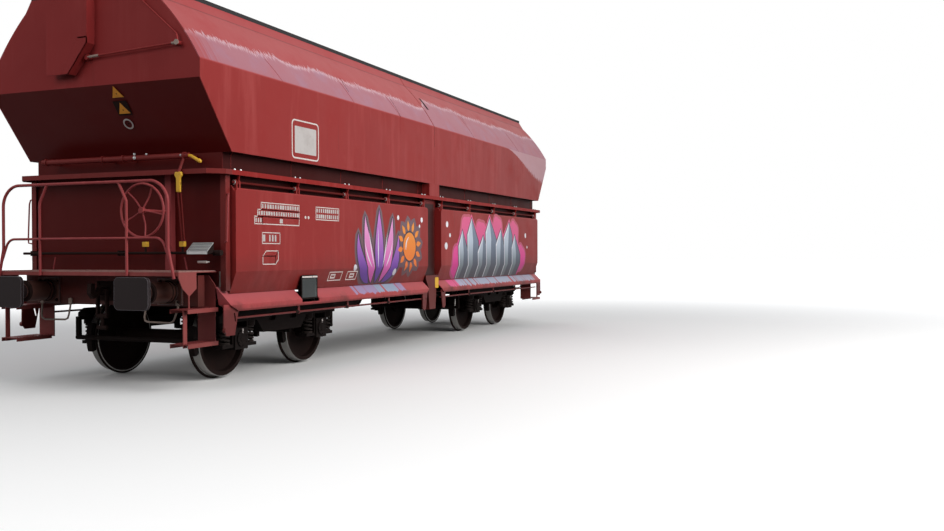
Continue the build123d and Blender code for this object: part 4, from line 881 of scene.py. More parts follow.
def table_into(lines, cells, x0, x1, z0, z1, rows, columns, filled, side, face_y):
    """The ruled frame of one table, and flat bars inside it with the paint showing between."""
    back, front = sorted((face_y, face_y + side * PAINT))
    for z in (z0, z1):
        box_into(lines, (x0 - LINE / 2, back, z - LINE / 2), (x1 + LINE / 2, front, z + LINE / 2))
    for x in (x0, x1):
        box_into(lines, (x - LINE / 2, back, z0), (x + LINE / 2, front, z1))
    wide = (x1 - x0 - LINE) / columns
    tall = (z1 - z0 - LINE) / rows
    for row in range(rows):
        for k in range(columns):
            if random.random() > filled:
                continue
            x = x0 + LINE / 2 + wide * (k + 0.5)
            z = z0 + LINE / 2 + tall * (row + 0.5)
            half = wide * random.uniform(0.24, 0.42)
            top = back + (front - back) * 0.8
            box_into(cells, (x - half, back, z - tall * 0.34), (x + half, top, z + tall * 0.34))


def stroke_into(bm, start, end, side):
    """One painted line on a door between two (x, z) points."""
    (xa, za), (xb, zb) = start, end
    away = Vector((zb - za, 0.0, xa - xb)).normalized() * LINE / 2
    points = [Vector((x, side * DOOR_Y, z)) + turn * away
              for x, z, turn in ((xa, za, -1), (xb, zb, -1), (xb, zb, 1), (xa, za, 1))]
    prism_into(bm, [(-side * point.x, point.y, point.z) for point in points], (0, side * PAINT, 0))


stencil_grey = label_grey.copy()
stencil_grey.name = "stencil_grey"
for door, side in (("door_right_brake_end", -1), ("door_left_plain_end", 1)):
    lines = bmesh.new()
    cells = bmesh.new()
    face_y = side * DOOR_Y
    for x0, x1, *row in tables:
        table_into(lines, cells, *sorted((-side * x0, -side * x1)), *row, side, face_y)
    for x in DOT_XS:
        rod_into(lines, (-side * x, face_y, DOT_Z), (-side * x, side * (DOOR_Y + 0.0009), DOT_Z),
                 DOT_RADIUS, 16)
    for outline in drawn_box:
        for start, end in zip(outline, outline[1:] + outline[:1]):
            stroke_into(lines, start, end, side)
    piece_from(f"tables_{door}", lines, white_paint, door)
    piece_from(f"table_cells_{door}", cells, stencil_grey, door)
print("tables:", len(tables))

# %% [markdown]
# The three plates on the sloping end are thin sheet on short studs. The slope's own directions
# are worked out first, so that each plate lies flat on it.

# %% Blank plates on the sloping end
SLOPE_FOOT = Vector((-5.36, 0.0, 2.618))
SLOPE_TOP = Vector((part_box("end_wall_brake_end")[0][0], 0.0, 3.348))
slope_up = (SLOPE_TOP - SLOPE_FOOT).normalized()
slope_out = Vector((0.0, -1.0, 0.0)).cross(slope_up).normalized()
ACROSS = Vector((0, 1, 0))
SHEET = 0.002
slope_plates = [
    # across, up the slope, corners, radius
    (-0.315, 0.80, 3, 0.092), (-0.30, 0.60, 3, 0.092), (-0.277, 0.425, 24, 0.066),
]
bm, studs, backing, rings = (bmesh.new() for _ in range(4))
for centre_y, up, corners, radius in slope_plates:
    centre = SLOPE_FOOT + slope_up * up + ACROSS * centre_y + slope_out * 0.012
    turns = [math.pi / 2 + k * 2 * math.pi / corners for k in range(corners)]
    points = [centre + (slope_up * math.sin(t) + ACROSS * math.cos(t)) * radius for t in turns]
    rod_into(studs, centre - slope_out * 0.013, centre + slope_out * 0.004, 0.007, 8)
    if corners == 3:
        prism_into(bm, points, slope_out * SHEET)
        if up < 0.7:
            square = [centre + slope_up * dz + ACROSS * dy for dy, dz in (
                (-0.095, -0.065), (0.095, -0.065), (0.095, 0.11), (-0.095, 0.11))]
            prism_into(backing, square, slope_out * -SHEET)
        continue
    inner = [centre.lerp(point, 0.72) for point in points]
    for k in range(corners):
        n = (k + 1) % corners
        prism_into(rings, [points[k], points[n], inner[n], inner[k]], slope_out * SHEET)
piece_from("slope_signs", bm, sign_orange, bevel=0.0008)
piece_from("slope_sign_backing", backing, under_steel)
piece_from("slope_ring", rings, label_grey)
piece_from("slope_sign_studs", studs, under_steel)
print("slope plates at", [round(v, 2) for v in SLOPE_TOP])

# %% [markdown]
# The side sheets are welded from panels. A welded lap reads as a thin raised strip: one runs up
# the middle of each side where the two halves meet, and short slanting ones climb part of the
# shoulder. They all follow the same line, from the upright sheet round the knuckle and up the
# curved shoulder. Dark strips lie beside some seams, and there is one dark slot high on the shoulder.

# %% Weld seams on the sides
KNUCKLE = (SIDE_Y, 3.548)
SHOULDER_TOP = (0.95, 4.238)
RIM_FOOT = (0.862, 4.378)
BULGE = 0.032


def side_line(low, high, lift=0.0, steps=14):
    """Points (y, z) of the side's outer face between two heights, moved out by lift."""
    chord_y = SHOULDER_TOP[0] - KNUCKLE[0]
    chord_z = SHOULDER_TOP[1] - KNUCKLE[1]
    length = math.hypot(chord_y, chord_z)
    line = [(SIDE_Y, low)] if low < KNUCKLE[1] else []
    for k in range(steps + 1):
        t = k / steps
        out = BULGE * 4 * t * (1 - t)
        line.append((KNUCKLE[0] + chord_y * t + out * chord_z / length,
                     KNUCKLE[1] + chord_z * t - out * chord_y / length))
    line.append(RIM_FOOT)
    kept = [(y, z) for y, z in line if low - 1e-6 <= z <= high + 1e-6]
    return [(y + lift * 0.8, z + lift * (0.6 if z > KNUCKLE[1] else 0.0)) for y, z in kept]


def seam_into(bm, x, side, low, high, width, proud, slant=0.0):
    """A flat strip over the side's face. Slant moves its upper end along the wagon."""
    inner = side_line(low, high)
    outer = side_line(low, high, proud)
    rows = []
    for k, ((y0, z0), (y1, z1)) in enumerate(zip(inner, outer)):
        shift = slant * k / max(len(inner) - 1, 1)
        rows.append([bm.verts.new((x + shift + dx, side * y, z)) for dx, y, z in (
            (-width / 2, y0, z0), (-width / 3, y1, z1), (width / 3, y1, z1), (width / 2, y0, z0))])
    for a, b in zip(rows, rows[1:]):
        for k in range(3):
            bm.faces.new((a[k], a[k + 1], b[k + 1], b[k]))
    bm.faces.new(rows[0])
    bm.faces.new(list(reversed(rows[-1])))


seams = [
    # x, z0, z1, width, proud, slant
    (0.0, 3.548, 4.378, 0.022, 0.003, 0.0), (0.0, 2.62, 3.55, 0.022, 0.003, 0.0),
    (-1.22, 3.548, 3.87, 0.014, 0.002, -0.12), (-2.62, 3.548, 3.90, 0.012, 0.002, -0.10),
    (-4.35, 3.548, 3.86, 0.010, 0.002, -0.14), (1.75, 3.548, 3.98, 0.012, 0.002, -0.10),
    (4.10, 3.548, 3.94, 0.012, 0.002, -0.10), (-1.22, 3.30, 3.55, 0.014, 0.002, 0.0),
]
gaps = [
    # x, z0, z1, width
    (0.014, 3.548, 4.378, 0.012), (0.014, 3.22, 3.55, 0.010), (-1.208, 3.548, 3.87, 0.008),
    (-2.608, 3.70, 3.92, 0.008), (1.76, 3.80, 3.99, 0.008), (0.20, 3.86, 4.06, 0.075),
]
bm = bmesh.new()
for side, (x, *row) in product(SIDES, seams):
    seam_into(bm, x, side, *row)
piece_from("weld_seams", bm, body_paint)
bm = bmesh.new()
for side, x in product(SIDES, gusset_xs):
    tube_into(bm, [(x, side * 1.349, 2.42), (x, side * 1.351, 2.60), (x, side * 1.459, 2.716)], 0.004, 6)
piece_from("recess_welds", bm, body_paint)
bm = bmesh.new()
for x, *row in gaps:
    seam_into(bm, x, -1, *row, 0.0012)
piece_from("seam_dark_strips", bm, bogie_steel)
print("seams:", len(seams), "on each side, with", len(gaps), "gaps")

# %% [markdown]
# The control gear at the brake end ends in yellow grips, so that a hand finds them. Each grip is
# a sleeve that wraps the steel of the CAD node by a couple of millimetres.

# %% Yellow grips and the white handle
GRIP_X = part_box("control_tube")[0][0] + 0.0132
SHAFT_X = -5.5
HANDLE_Z = 1.403
grip = [
    # y from the lever's middle, z
    (-0.040, 2.387), (-0.048, 2.352), (-0.042, 2.338), (-0.026, 2.318), (-0.026, 2.166), (0.026, 2.166),
    (0.026, 2.318), (0.042, 2.338), (0.048, 2.352), (0.040, 2.387),
]
lever_line = [(-5.56, -1.055, 2.573), (-5.575, -1.10, 2.566), (-5.60, -1.18, 2.53), (-5.612, -1.235, 2.505)]
bm = bmesh.new()
prism_into(bm, [(GRIP_X - 0.0128, -1.0 + y, z) for y, z in grip], (0.0285, 0, 0))
for y in (-0.918, -0.400):
    box_into(bm, (SHAFT_X - 0.023, y - 0.033, 1.572), (SHAFT_X + 0.023, y + 0.033, 1.631))
tube_into(bm, lever_line, 0.017, 12)
rod_into(bm, (-5.608, -1.228, 2.508), (-5.616, -1.262, 2.494), 0.024, 14, 0.018)
piece_from("yellow_grips", bm, yellow_paint, bevel=0.006)

bm = bmesh.new()
rod_into(bm, (SHAFT_X, -1.125, HANDLE_Z), (SHAFT_X, -1.246, HANDLE_Z), 0.014, 14)
for y in (-1.135, -1.236):
    tube_into(bm, [(SHAFT_X, y, HANDLE_Z), (-5.475, y, HANDLE_Z), (-5.45, y, HANDLE_Z + 0.002)], 0.008, 8)
piece_from("white_handle", bm, white_paint, bevel=0.002)
print("grips at x", round(GRIP_X, 3))

# %% [markdown]
# A grating covers the platform and the pedal, because a flat plate is slippery when wet. It is a
# comb of upright bars tied by cross rods. Only the pedal's still has its zinc: the deck is worn to
# reddish steel. The treads of the corner steps are flat bars in the colour of the rails.

# %% Gratings
bare_steel = worn_paint("bare_steel", linear(150, 132, 122), linear(96, 62, 50), wear=0.5, dirt=0.4)
deck_steel = worn_paint("deck_steel", linear(150, 112, 106), linear(96, 62, 54), wear=0.4, dirt=0.5)
deck_low, deck_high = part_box("platform")
DECK_Z = deck_high[2]
DECK_BARS = 56
DECK_INNER_X = -5.38
BAR_HALF = 0.0018
bm = bmesh.new()
for k in range(DECK_BARS + 1):
    y = deck_low[1] + 0.02 + (deck_high[1] - deck_low[1] - 0.04) * k / DECK_BARS
    box_into(bm, (deck_low[0] + 0.02, y - BAR_HALF, DECK_Z - 0.001),
             (DECK_INNER_X, y + BAR_HALF, DECK_Z + 0.012))
for k in range(7):
    x = deck_low[0] + 0.03 + 0.1 * k
    box_into(bm, (x - 0.002, deck_low[1] + 0.015, DECK_Z),
             (x + 0.002, deck_high[1] - 0.015, DECK_Z + 0.0125))
piece_from("deck_grating", bm, deck_steel)

PEDAL_Y0, PEDAL_Y1 = -1.34, -1.073
PEDAL_FOOT = Vector((-5.62, 0.0, 1.513))
PEDAL_HEAD = Vector((-5.506, 0.0, 1.610))
PEDAL_BAR = 0.009
pedal_up = (PEDAL_HEAD - PEDAL_FOOT).normalized()
pedal_out = Vector((0.0, -1.0, 0.0)).cross(pedal_up).normalized()
bm = bmesh.new()
for k in range(12):
    y = PEDAL_Y0 + (PEDAL_Y1 - PEDAL_Y0) * k / 11
    foot = PEDAL_FOOT + Vector((0, y, 0))
    head = PEDAL_HEAD + Vector((0, y, 0))
    prism_into(bm, [foot, head, head + pedal_out * PEDAL_BAR, foot + pedal_out * PEDAL_BAR], (0, 0.004, 0))
for share in (0.02, 0.34, 0.66, 0.97):
    foot = PEDAL_FOOT.lerp(PEDAL_HEAD, share)
    foot.y = PEDAL_Y0
    head = foot + pedal_up * 0.005
    prism_into(bm, [foot, head, head + pedal_out * PEDAL_BAR, foot + pedal_out * PEDAL_BAR],
               (0, PEDAL_Y1 - PEDAL_Y0 + 0.004, 0))
box_into(bm, (-5.6235, PEDAL_Y0 - 0.001, 1.489), (-5.6195, PEDAL_Y1 + 0.001, 1.517))
piece_from("pedal_grating", bm, zinc, bevel=0.0008)

TREAD_ZS = (0.533, 0.903)
TREAD_X, TREAD_PITCH = 5.45, 0.045
bm = bmesh.new()
for (sx, sy), tread_z, k in product(CORNERS, TREAD_ZS, range(11)):
    x = sx * (TREAD_X + TREAD_PITCH * k)
    y0, y1 = sorted((sy * 1.11, sy * 1.31))
    box_into(bm, (x - 0.008, y0, tread_z - 0.001), (x + 0.008, y1, tread_z + 0.003))
piece_from("step_treads", bm, rail_paint, bevel=0.001)
print("deck bars:", DECK_BARS + 1)

# %% [markdown]
# Under each buffer hangs a bent handle for the shunter, a round bar that is bolted to the beam.
# The buffers themselves get a rolled collar at the mouth of the casing and two at its foot.

# %% Shunter's handles and buffer collars
handle_line = [
    # out from the beam, y, z
    (0.0, 0.55, 0.99), (0.004, 0.55, 0.90), (0.03, 0.548, 0.80), (0.036, 0.56, 0.757), (0.036, 0.60, 0.742),
    (0.036, 0.90, 0.738), (0.036, 0.945, 0.757), (0.03, 0.965, 0.80), (0.004, 0.98, 0.89),
    (0.0, 0.98, 0.922),
]
bm = bmesh.new()
for sx, sy in CORNERS:
    x = sx * (head_x + 0.012)
    tube_into(bm, [(x + sx * out, sy * y, z) for out, y, z in handle_line], 0.011, 10)
    for y in (0.55, 0.98):
        box_into(bm, (x - 0.012, sy * y - 0.025, 0.925), (x + 0.012, sy * y + 0.025, 0.985))
piece_from("shunter_handles", bm, bare_steel, bevel=0.002)

CASING_X = 6.04
bm = bmesh.new()
for (sx, sy), (x0, x1, radius) in product(
        CORNERS, ((-0.03, 0.004, 0.122), (-0.30, -0.285, 0.119), (-0.345, -0.33, 0.126))):
    ends = [(sx * (CASING_X + x), sy * BUFFER_Y, BUFFER_Z) for x in (x0, x1)]
    rod_into(bm, *ends, radius, 40)
piece_from("buffer_collars", bm, under_steel, bevel=0.003)
print("handles and collars at four corners")

# %% [markdown]
# The hinge line of the doors shows below the beam: pale grey collars on the bar on both sides of
# each gusset, whose pale grey is a painted highlight for the lit edges of the lugs. The locking rod
# below the sill runs through clamps.

# %% Hinge collars and rod clamps
bm = bmesh.new()
# Painted highlight: the pale grey collars stand for the lit edges of the lugs.
for x, side, shift in product(gusset_xs, SIDES, (-0.044, 0.044)):
    ends = [(x + shift + dx, side * HINGE_Y, HINGE_Z) for dx in (-0.004, 0.004)]
    rod_into(bm, *ends, 0.026, 20)
piece_from("hinge_collars_painted_highlight", bm, label_grey, bevel=0.001)
ROD_Y, ROD_Z = 1.44, 0.776
bm = bmesh.new()
for x, side in product(gusset_xs, SIDES):
    if 0.5 < abs(x) < 5.0:
        rod_into(bm, (x - 0.055, side * ROD_Y, ROD_Z), (x + 0.015, side * ROD_Y, ROD_Z), 0.019, 16)
        for z in (0.796, 0.83):
            bolt_into(bm, (x - 0.02, side * 1.446, z), (0, side, 0), 0.007)
piece_from("rod_clamps", bm, under_steel, bevel=0.001)
print("hinge collars:", 4 * len(gusset_xs))

# %% [markdown]
# The document holder on the near door is a shallow dark frame with a dark plastic cover, whose pale
# streaks are painted glints. The cover is a separate thin pane, so that it can shine. A pale bar
# holds its upper edge.

# %% Document holder
cover_with_painted_glints, tree, shader = new_material("cover_with_painted_glints", roughness=0.15)
# Painted glints: pale streaks over the cover's dark colour.
colour = coat(tree, linear(44, 48, 48), linear(160, 172, 168),
              mask_of(tree, streaks, Spread=11.0, Length=1.6, Cover=0.42, Seed=4.0), 0.85)
finished(tree, shader, colour, 0.4, 0.3)
NEAR_DOOR = "door_right_brake_end"
holder_low, holder_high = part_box("document_holder")
x0, face_y, z0 = holder_low
x1, z1 = holder_high[0], holder_high[2]
bm = bmesh.new()
pane = rounded_outline(x0 - 0.022, x1 + 0.022, z0 - 0.012, z1 - 0.03, 0.012, 3)
prism_into(bm, [(x, face_y - 0.0004, z) for x, z in pane], (0, 0.003, 0))
piece_from("holder_cover", bm, cover_with_painted_glints, NEAR_DOOR, 0.0008)
bm = bmesh.new()
outer = rounded_outline(x0 - 0.038, x1 + 0.036, z0 - 0.026, z1 + 0.006, 0.016, 3)
inner = rounded_outline(x0 - 0.018, x1 + 0.016, z0 - 0.006, z1 - 0.034, 0.012, 3)
ring_into(bm, outer, inner, face_y - 0.003, face_y + 0.010)
piece_from("holder_frame", bm, bogie_steel, NEAR_DOOR, 0.0008)
bm = bmesh.new()
for a, b in ((x0 - 0.022, x1 - 0.095), (x1 - 0.085, x1 + 0.03)):
    low, high = (face_y - 0.005, z1 - 0.026), (face_y - 0.004, z1 - 0.006)
    prism_into(bm, [(a, *low), (b, *low), (b, *high), (a, *high)], (0, 0.003, 0))
piece_from("holder_bar", bm, white_paint, NEAR_DOOR, 0.0006)
print("holder", [round(v, 3) for v in holder_low], [round(v, 3) for v in holder_high])

# %% [markdown]
# The doors on one side carry spray paint. The design is this lesson's own: leaves and a sun on
# one door, a row of crystals on the other. Each shape is a flat outline laid on the door in
# layers 0.4 mm apart: a soft halo, a dark edge, a fill and its lights. Where the door folds in at
# its crease, the layers are cut along the crease and fold with it.

# %% Helpers for spray paint
CREASE_Z = 1.293
TOE_Y = 1.390
TOE_Z = 1.049
LAYER = 0.0004
OVERLAP = 0.00002
HALO, EDGE, INNER_EDGE = 0.075, 0.026, 0.022


def door_face_y(z):
    """How far the door's outer face is from the wagon's middle, at a height."""
    if z >= CREASE_Z:
        return DOOR_Y
    return DOOR_Y - (CREASE_Z - z) * (DOOR_Y - TOE_Y) / (CREASE_Z - TOE_Z)


def leaf(x, z, length, width, angle, bend, steps=24):
    """A pointed leaf from its foot, with its middle line bent like a bow."""
    left = []
    right = []
    t = math.radians(angle)
    for k in range(steps + 1):
        half = width * math.sin(math.pi * (k / steps) ** 0.8) ** 1.1
        left.append((x - half * math.sin(t), z + half * math.cos(t)))
        right.append((x + half * math.sin(t), z - half * math.cos(t)))
        x += length / steps * math.cos(t)
        z += length / steps * math.sin(t)
        t += math.radians(bend) / steps
    return right + left[-2:0:-1]


def pebble(x, z, radius, wobble=0.0, lobes=3, turn=0.0, steps=40):
    """A disc whose edge swells in and out."""
    points = []
    for k in range(steps):
        t = 2 * math.pi * k / steps
        r = radius * (1 + wobble * math.cos(lobes * t + turn))
        points.append((x + r * math.cos(t), z + r * math.sin(t)))
    return points


def grown(points, by):
    """The outline moved outwards, each corner along the mean of its two edges' normals."""
    moved = []
    for k in range(len(points)):
        (ax, az), (bx, bz), (cx, cz) = points[k - 1], points[k], points[(k + 1) % len(points)]
        normal = Vector((bz - az, ax - bx)).normalized() + Vector((cz - bz, bx - cx)).normalized()
        normal.normalize()
        moved.append((bx + normal.x * by, bz + normal.y * by))
    return moved


def painted(name, shapes, layer, material, body=NEAR_DOOR):
    """One layer of flat shapes on a door, folded at the crease and cut off above the sill.

    The shapes of a layer overlap, so each lies a fiftieth of a millimetre above the last one.
    """
    bm = bmesh.new()
    for k, shape in enumerate(shapes):
        bm.faces.new([bm.verts.new((x, OVERLAP * k, z)) for x, z in shape])
    bm.normal_update()
    bmesh.ops.triangulate(bm, faces=bm.faces)
    for z, below in ((CREASE_Z, False), (TOE_Z + 0.012, True)):
        bmesh.ops.bisect_plane(bm, geom=bm.verts[:] + bm.edges[:] + bm.faces[:], plane_co=(0, 0, z),
                               plane_no=(0, 0, 1), clear_inner=below)
    for vert in bm.verts:
        vert.co.y = -(door_face_y(vert.co.z) + LAYER * layer + vert.co.y)
    piece_from(name, bm, material, body)


def spray(name, low_colour, high_colour, z0=1.1, z1=2.1, through=0.25):
    """Spray paint that changes from one colour to another upwards, with rain marks on it."""
    made, tree, shader = new_material(name, roughness=0.45, specular=0.35)
    mix = coat(tree, low_colour, high_colour, ramp(tree, spot_in(tree, "Z"), z0, z1))
    mix = coat(tree, mix, linear(130, 62, 62), mask_of(tree, clouds, Scale=26.0, Cover=0.3, Softness=0.15),
               through)
    mix = coat(tree, mix, linear(112, 80, 78),
               mask_of(tree, streaks, Spread=14.0, Length=0.8, Cover=0.3, Seed=2.0), 0.35)
    mix = coat(tree, mix, linear(70, 46, 44),
               mask_of(tree, thrown, Full_below=1.0, Gone_above=1.42, Ragged=0.3), 0.45)
    finished(tree, shader, mix, 1.0, 0.3, 0.02)
    return made


spray_violet = spray("spray_violet", linear(92, 48, 150), linear(200, 124, 206))
spray_pink = spray("spray_pink", linear(206, 88, 170), linear(230, 156, 208))
spray_orange = spray("spray_orange", linear(222, 104, 30), linear(238, 150, 56))
spray_dark = spray("spray_dark", linear(36, 28, 38), linear(50, 42, 54), through=0.1)
spray_grey = spray("spray_grey", linear(92, 62, 70), linear(108, 84, 92), through=0.3)
spray_magenta = spray("spray_magenta", linear(216, 50, 146), linear(222, 92, 140), through=0.2)
spray_lilac = spray("spray_lilac", linear(180, 70, 120), linear(190, 84, 104), through=0.5)
spray_silver = spray("spray_silver", linear(104, 114, 120), linear(192, 204, 220), z0=1.15, z1=1.8,
                     through=0.06)
spray_white = spray("spray_white", linear(214, 212, 220), linear(240, 238, 244), through=0.1)
spray_shade = spray("spray_shade", linear(58, 62, 74), linear(118, 130, 150), z0=1.05, z1=1.9, through=0.08)
print("spray cans:", len([paint for paint in bpy.data.materials if paint.name.startswith("spray_")]))

# %% [markdown]
# The first door's leaves fan out from one foot, with the outer pair behind and the middle one in
# front, so each pair gets its own dark edge. The sun is a disc with twelve rays.

# %% Leaves and a sun on the first door
leaves = [
    # foot x, foot z, length, half width, angle, bend
    (-2.12, 1.075, 0.86, 0.095, 152.0, -66.0),
    (-1.72, 1.075, 0.86, 0.095, 28.0, 66.0),
    (-2.04, 1.075, 1.00, 0.110, 118.0, -22.0),
    (-1.80, 1.075, 1.00, 0.110, 62.0, 22.0),
    (-1.92, 1.070, 1.06, 0.125, 90.0, 0.0),
]
SUN_X, SUN_Z = -0.93, 1.60
RAYS_FROM = 0.235
sun = [pebble(SUN_X, SUN_Z, 0.215)]
rays = []
for angle in range(8, 360, 30):
    x = SUN_X + RAYS_FROM * math.cos(math.radians(angle))
    z = SUN_Z + RAYS_FROM * math.sin(math.radians(angle))
    rays.append(leaf(x, z, 0.17, 0.042, angle, 0.0, 8))
bubbles = [pebble(x, z, radius) for x, z, radius in (
    (-0.50, 2.02, 0.040), (-0.58, 1.92, 0.026), (-2.62, 1.30, 0.045), (-1.32, 2.03, 0.035),
    (-1.40, 1.22, 0.050))]
plant = [leaf(*row) for row in leaves]
lights = [leaf(SUN_X - 0.13, SUN_Z - 0.06, 0.26, 0.016, 100.0, -80.0)]
for k, (x, z, length, width, angle, bend) in enumerate(leaves):
    x -= 0.25 * width * math.sin(math.radians(angle))
    lights.insert(k, leaf(x, z + 0.22, length * 0.55, 0.013, angle + bend * 0.25, bend * 0.5))
for name, shapes, layer, can in (
        ("halo", [grown(shape, HALO) for shape in plant + sun + rays], 1, spray_grey),
        ("edge", [grown(shape, EDGE) for shape in plant + sun], 2, spray_dark),
        ("outer", plant[:2], 3, spray_violet),
        ("middle_edge", [grown(shape, INNER_EDGE) for shape in plant[2:4]], 4, spray_dark),
        ("middle", plant[2:4], 5, spray_pink),
        ("front_edge", [grown(plant[4], INNER_EDGE)], 6, spray_dark),
        ("front", plant[4:], 7, spray_violet),
        ("sun", sun + rays, 3, spray_orange),
        ("lights", lights + bubbles, 8, spray_white)):
    painted(f"spray_one_{name}", shapes, layer, can)
print("first door:", len(leaves), "leaves and", len(rays), "rays")

# %% [markdown]
# The second door has a row of crystals in front of clouds. A crystal is five corners, and two
# smaller outlines inside it are its shaded face and its light edge.

# %% Crystals on the second door
crystals = [
    # foot from x, to x, shoulder z left, right, tip x, tip z
    (0.98, 1.42, 1.62, 1.50, 1.16, 1.90),
    (1.38, 1.90, 1.82, 1.70, 1.58, 2.12),
    (1.86, 2.30, 1.52, 1.60, 2.14, 1.82),
    (2.26, 2.82, 1.88, 1.74, 2.46, 2.15),
    (2.78, 3.26, 1.66, 1.56, 3.06, 1.96),
    (3.22, 3.70, 1.80, 1.84, 3.52, 2.10),
    (3.66, 4.16, 1.60, 1.46, 3.84, 1.86),
]
TOE_LINE = 1.055


def crystal(x0, x1, left_z, right_z, tip_x, tip_z, part="all"):
    """The outline of one crystal, of its light left face, or of its shaded right face."""
    foot = x0 + (x1 - x0) * 0.42
    if part == "shade":
        return [(foot, TOE_LINE), (x1 - 0.04, TOE_LINE), (x1, right_z), (tip_x, tip_z),
                (foot + 0.05, left_z - 0.12)]
    if part == "light":
        return [(x0 + 0.035, TOE_LINE), (x0 + 0.065, TOE_LINE), (x0 + 0.032, left_z - 0.03),
                (tip_x - 0.012, tip_z - 0.055), (tip_x, tip_z - 0.01), (x0 + 0.008, left_z)]
    return [(x0 + 0.02, TOE_LINE), (x1 - 0.04, TOE_LINE), (x1, right_z), (tip_x, tip_z), (x0, left_z)]


clouds_behind = [pebble(x, z, radius, 0.07, 5, x) for x, z, radius in (
    (1.02, 1.35, 0.30), (1.36, 1.88, 0.27), (2.02, 1.80, 0.28),
    (2.86, 1.92, 0.27), (3.78, 1.86, 0.27), (4.20, 1.40, 0.26))]
dots = [pebble(*row) for row in (
    (0.50, 1.98, 0.05), (0.62, 1.80, 0.035), (0.46, 1.62, 0.06), (4.50, 1.86, 0.05), (4.60, 1.62, 0.03))]
for name, shapes, layer, can in (
        ("glow", [grown(shape, 0.05) for shape in clouds_behind], 1, spray_lilac),
        ("halo", clouds_behind + [grown(crystal(*row), HALO) for row in crystals], 2, spray_magenta),
        ("edge", [grown(crystal(*row), EDGE) for row in crystals], 3, spray_dark),
        ("silver", [crystal(*row) for row in crystals], 4, spray_silver),
        ("shade", [crystal(*row, "shade") for row in crystals], 5, spray_shade),
        ("lights", [crystal(*row, "light") for row in crystals], 6, spray_white),
        ("dots", dots, 2, spray_white)):
    painted(f"spray_two_{name}", shapes, layer, can, "door_right_plain_end")
print("second door:", len(crystals), "crystals")

# %% [markdown]
# The last small things of the two ends: the slanting foot of each boxed column with its side
# sheet, sleeves of bare steel on the rods, bolt heads along the control tube, and grab handles.
# Small marks of paint follow: a yellow one on the sill's bracket and a white one on each axle box.

# %% Column foot, sleeves, bolts, grab handles and marks
column_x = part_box("end_linkage")[1][0]
COLUMN_DEPTH = 0.12
bm = bmesh.new()
foot_shape = [(-0.0645, 3.874), (-0.0645, 3.802), (0.205, 3.479), (0.302, 3.479), (0.066, 3.874)]
side_sheet = [(-0.0645, 3.876), (-0.0645, 3.802), (0.205, 3.479), (0.218, 3.479), (-0.0525, 3.806),
              (-0.0525, 3.876)]
for sx in SIDES:
    front_x = sx * column_x
    prism_into(bm, [(front_x, y, z) for y, z in foot_shape], (-sx * 0.0096, 0, 0))
    prism_into(bm, [(front_x, y, z) for y, z in side_sheet], (-sx * (COLUMN_DEPTH - 0.001), 0, 0))
piece_from("column_foot", bm, end_paint, bevel=0.001)

bm = bmesh.new()
for sx in SIDES:
    rod_x = sx * (column_x - 0.075)
    start = Vector((rod_x, 0.0, 3.660))
    elbow = Vector((rod_x, -1.23, 3.718))
    for share, half in ((0.07, 0.075), (0.965, 0.03)):
        centre = start.lerp(elbow, share)
        way = (elbow - start).normalized() * half
        rod_into(bm, centre - way, centre + way, 0.0155, 14)
    rod_into(bm, elbow + Vector((sx * 0.018, 0, 0)), elbow + Vector((sx * 0.026, 0, 0)), 0.03, 16)
piece_from("linkage_sleeves", bm, bare_steel, bevel=0.001)
bm = bmesh.new()
TUBE_X = -5.56
for y, z, size in ((-0.334, 2.613, 0.014), (-0.334, 2.571, 0.018), (-0.501, 2.606, 0.012),
                   (-0.976, 2.578, 0.012)):
    bolt_into(bm, (TUBE_X - 0.034, y, z), (-1, 0, 0.25), size)
piece_from("tube_bolts", bm, zinc, bevel=0.001)

bm = bmesh.new()
for side in SIDES:
    grab = [(-5.372, side * 1.412, 2.16), (-5.385, side * 1.452, 2.15), (-5.40, side * 1.456, 2.10),
            (-5.42, side * 1.456, 1.68), (-5.42, side * 1.452, 1.63), (-5.40, side * 1.412, 1.62)]
    tube_into(bm, grab, 0.009, 8)
    rod_into(bm, (-5.5, side * 0.942, 1.46), (-5.5, side * 0.975, 1.318), 0.008, 10)
piece_from("grab_handles", bm, rail_paint)

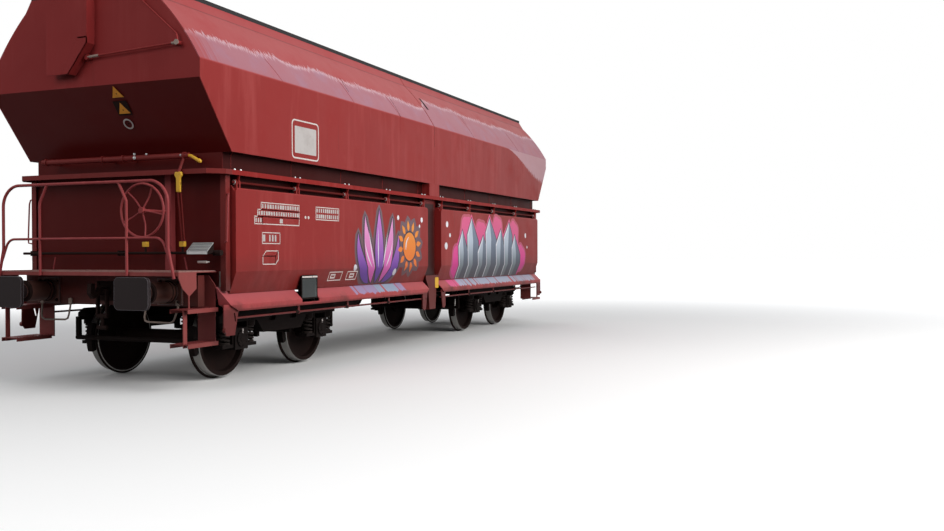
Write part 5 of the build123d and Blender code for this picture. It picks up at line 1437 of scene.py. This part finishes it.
bm = bmesh.new()
panel = rounded_outline(0.10, 0.235, 0.93, 1.105, 0.03, 4)
prism_into(bm, [(x, -1.4405, z) for x, z in panel], (0, -0.002, 0))
piece_from("bracket_mark", bm, yellow_paint)
for end, sign in ENDS:
    bm = bmesh.new()
    for axle in (-AXLE_X, AXLE_X):
        x = sign * PIVOT_X + axle
        box_into(bm, (x - 0.012, -1.1005, 0.555), (x + 0.012, -1.0975, 0.606))
    piece_from(f"box_marks_{end}", bm, white_paint, f"bogie_{end}")
print("column foot at", round(column_x, 3))

# %% [markdown]
# Between the ends of the doors and the middle posts a hand-wide gap would let daylight into the
# hopper. On the wagon a bent strip stands behind the gap, so an angle is bolted to each post
# there. The folded toe of one door has two small framed fields, drawn as bare outlines.

# %% Seal strips and framed fields
SEAL_X = 0.181
SEAL_Y = 1.352
SEAL_Z0, SEAL_Z1 = 1.135, 2.40
SEAL_SHAPE = [(0.0, 0.0), (0.119, 0.0), (0.119, 0.005), (0.005, 0.005), (0.005, 0.032), (0.0, 0.032)]
bm = bmesh.new()
for sx, side in CORNERS:
    prism_into(bm, [(sx * (SEAL_X + dx), side * (SEAL_Y + dy), SEAL_Z0) for dx, dy in SEAL_SHAPE],
               (0, 0, SEAL_Z1 - SEAL_Z0))
    for k in range(5):
        bolt_into(bm, (sx * (SEAL_X + 0.04), side * (SEAL_Y + 0.005), 1.25 + 0.25 * k), (0, side, 0), 0.005)
piece_from("seal_strips", bm, frame_paint)


def field(x0, x1, z0, z1, width):
    """Four flat strips that frame a field."""
    return [[(a, c), (b, c), (b, d), (a, d)] for a, b, c, d in (
        (x0, x1, z0, z0 + width), (x0, x1, z1 - width, z1),
        (x0, x0 + width, z0 + width, z1 - width), (x1 - width, x1, z0 + width, z1 - width))]


fields = []
for row in ((-3.27, -2.93, 1.135, 1.255, 0.012), (-2.80, -2.52, 1.135, 1.255, 0.012),
            (-3.22, -3.10, 1.165, 1.225, 0.02), (-2.72, -2.60, 1.165, 1.225, 0.02)):
    fields += field(*row)
painted("toe_fields", fields, 1, white_paint)
print("seal strips from", SEAL_Z0, "to", SEAL_Z1)
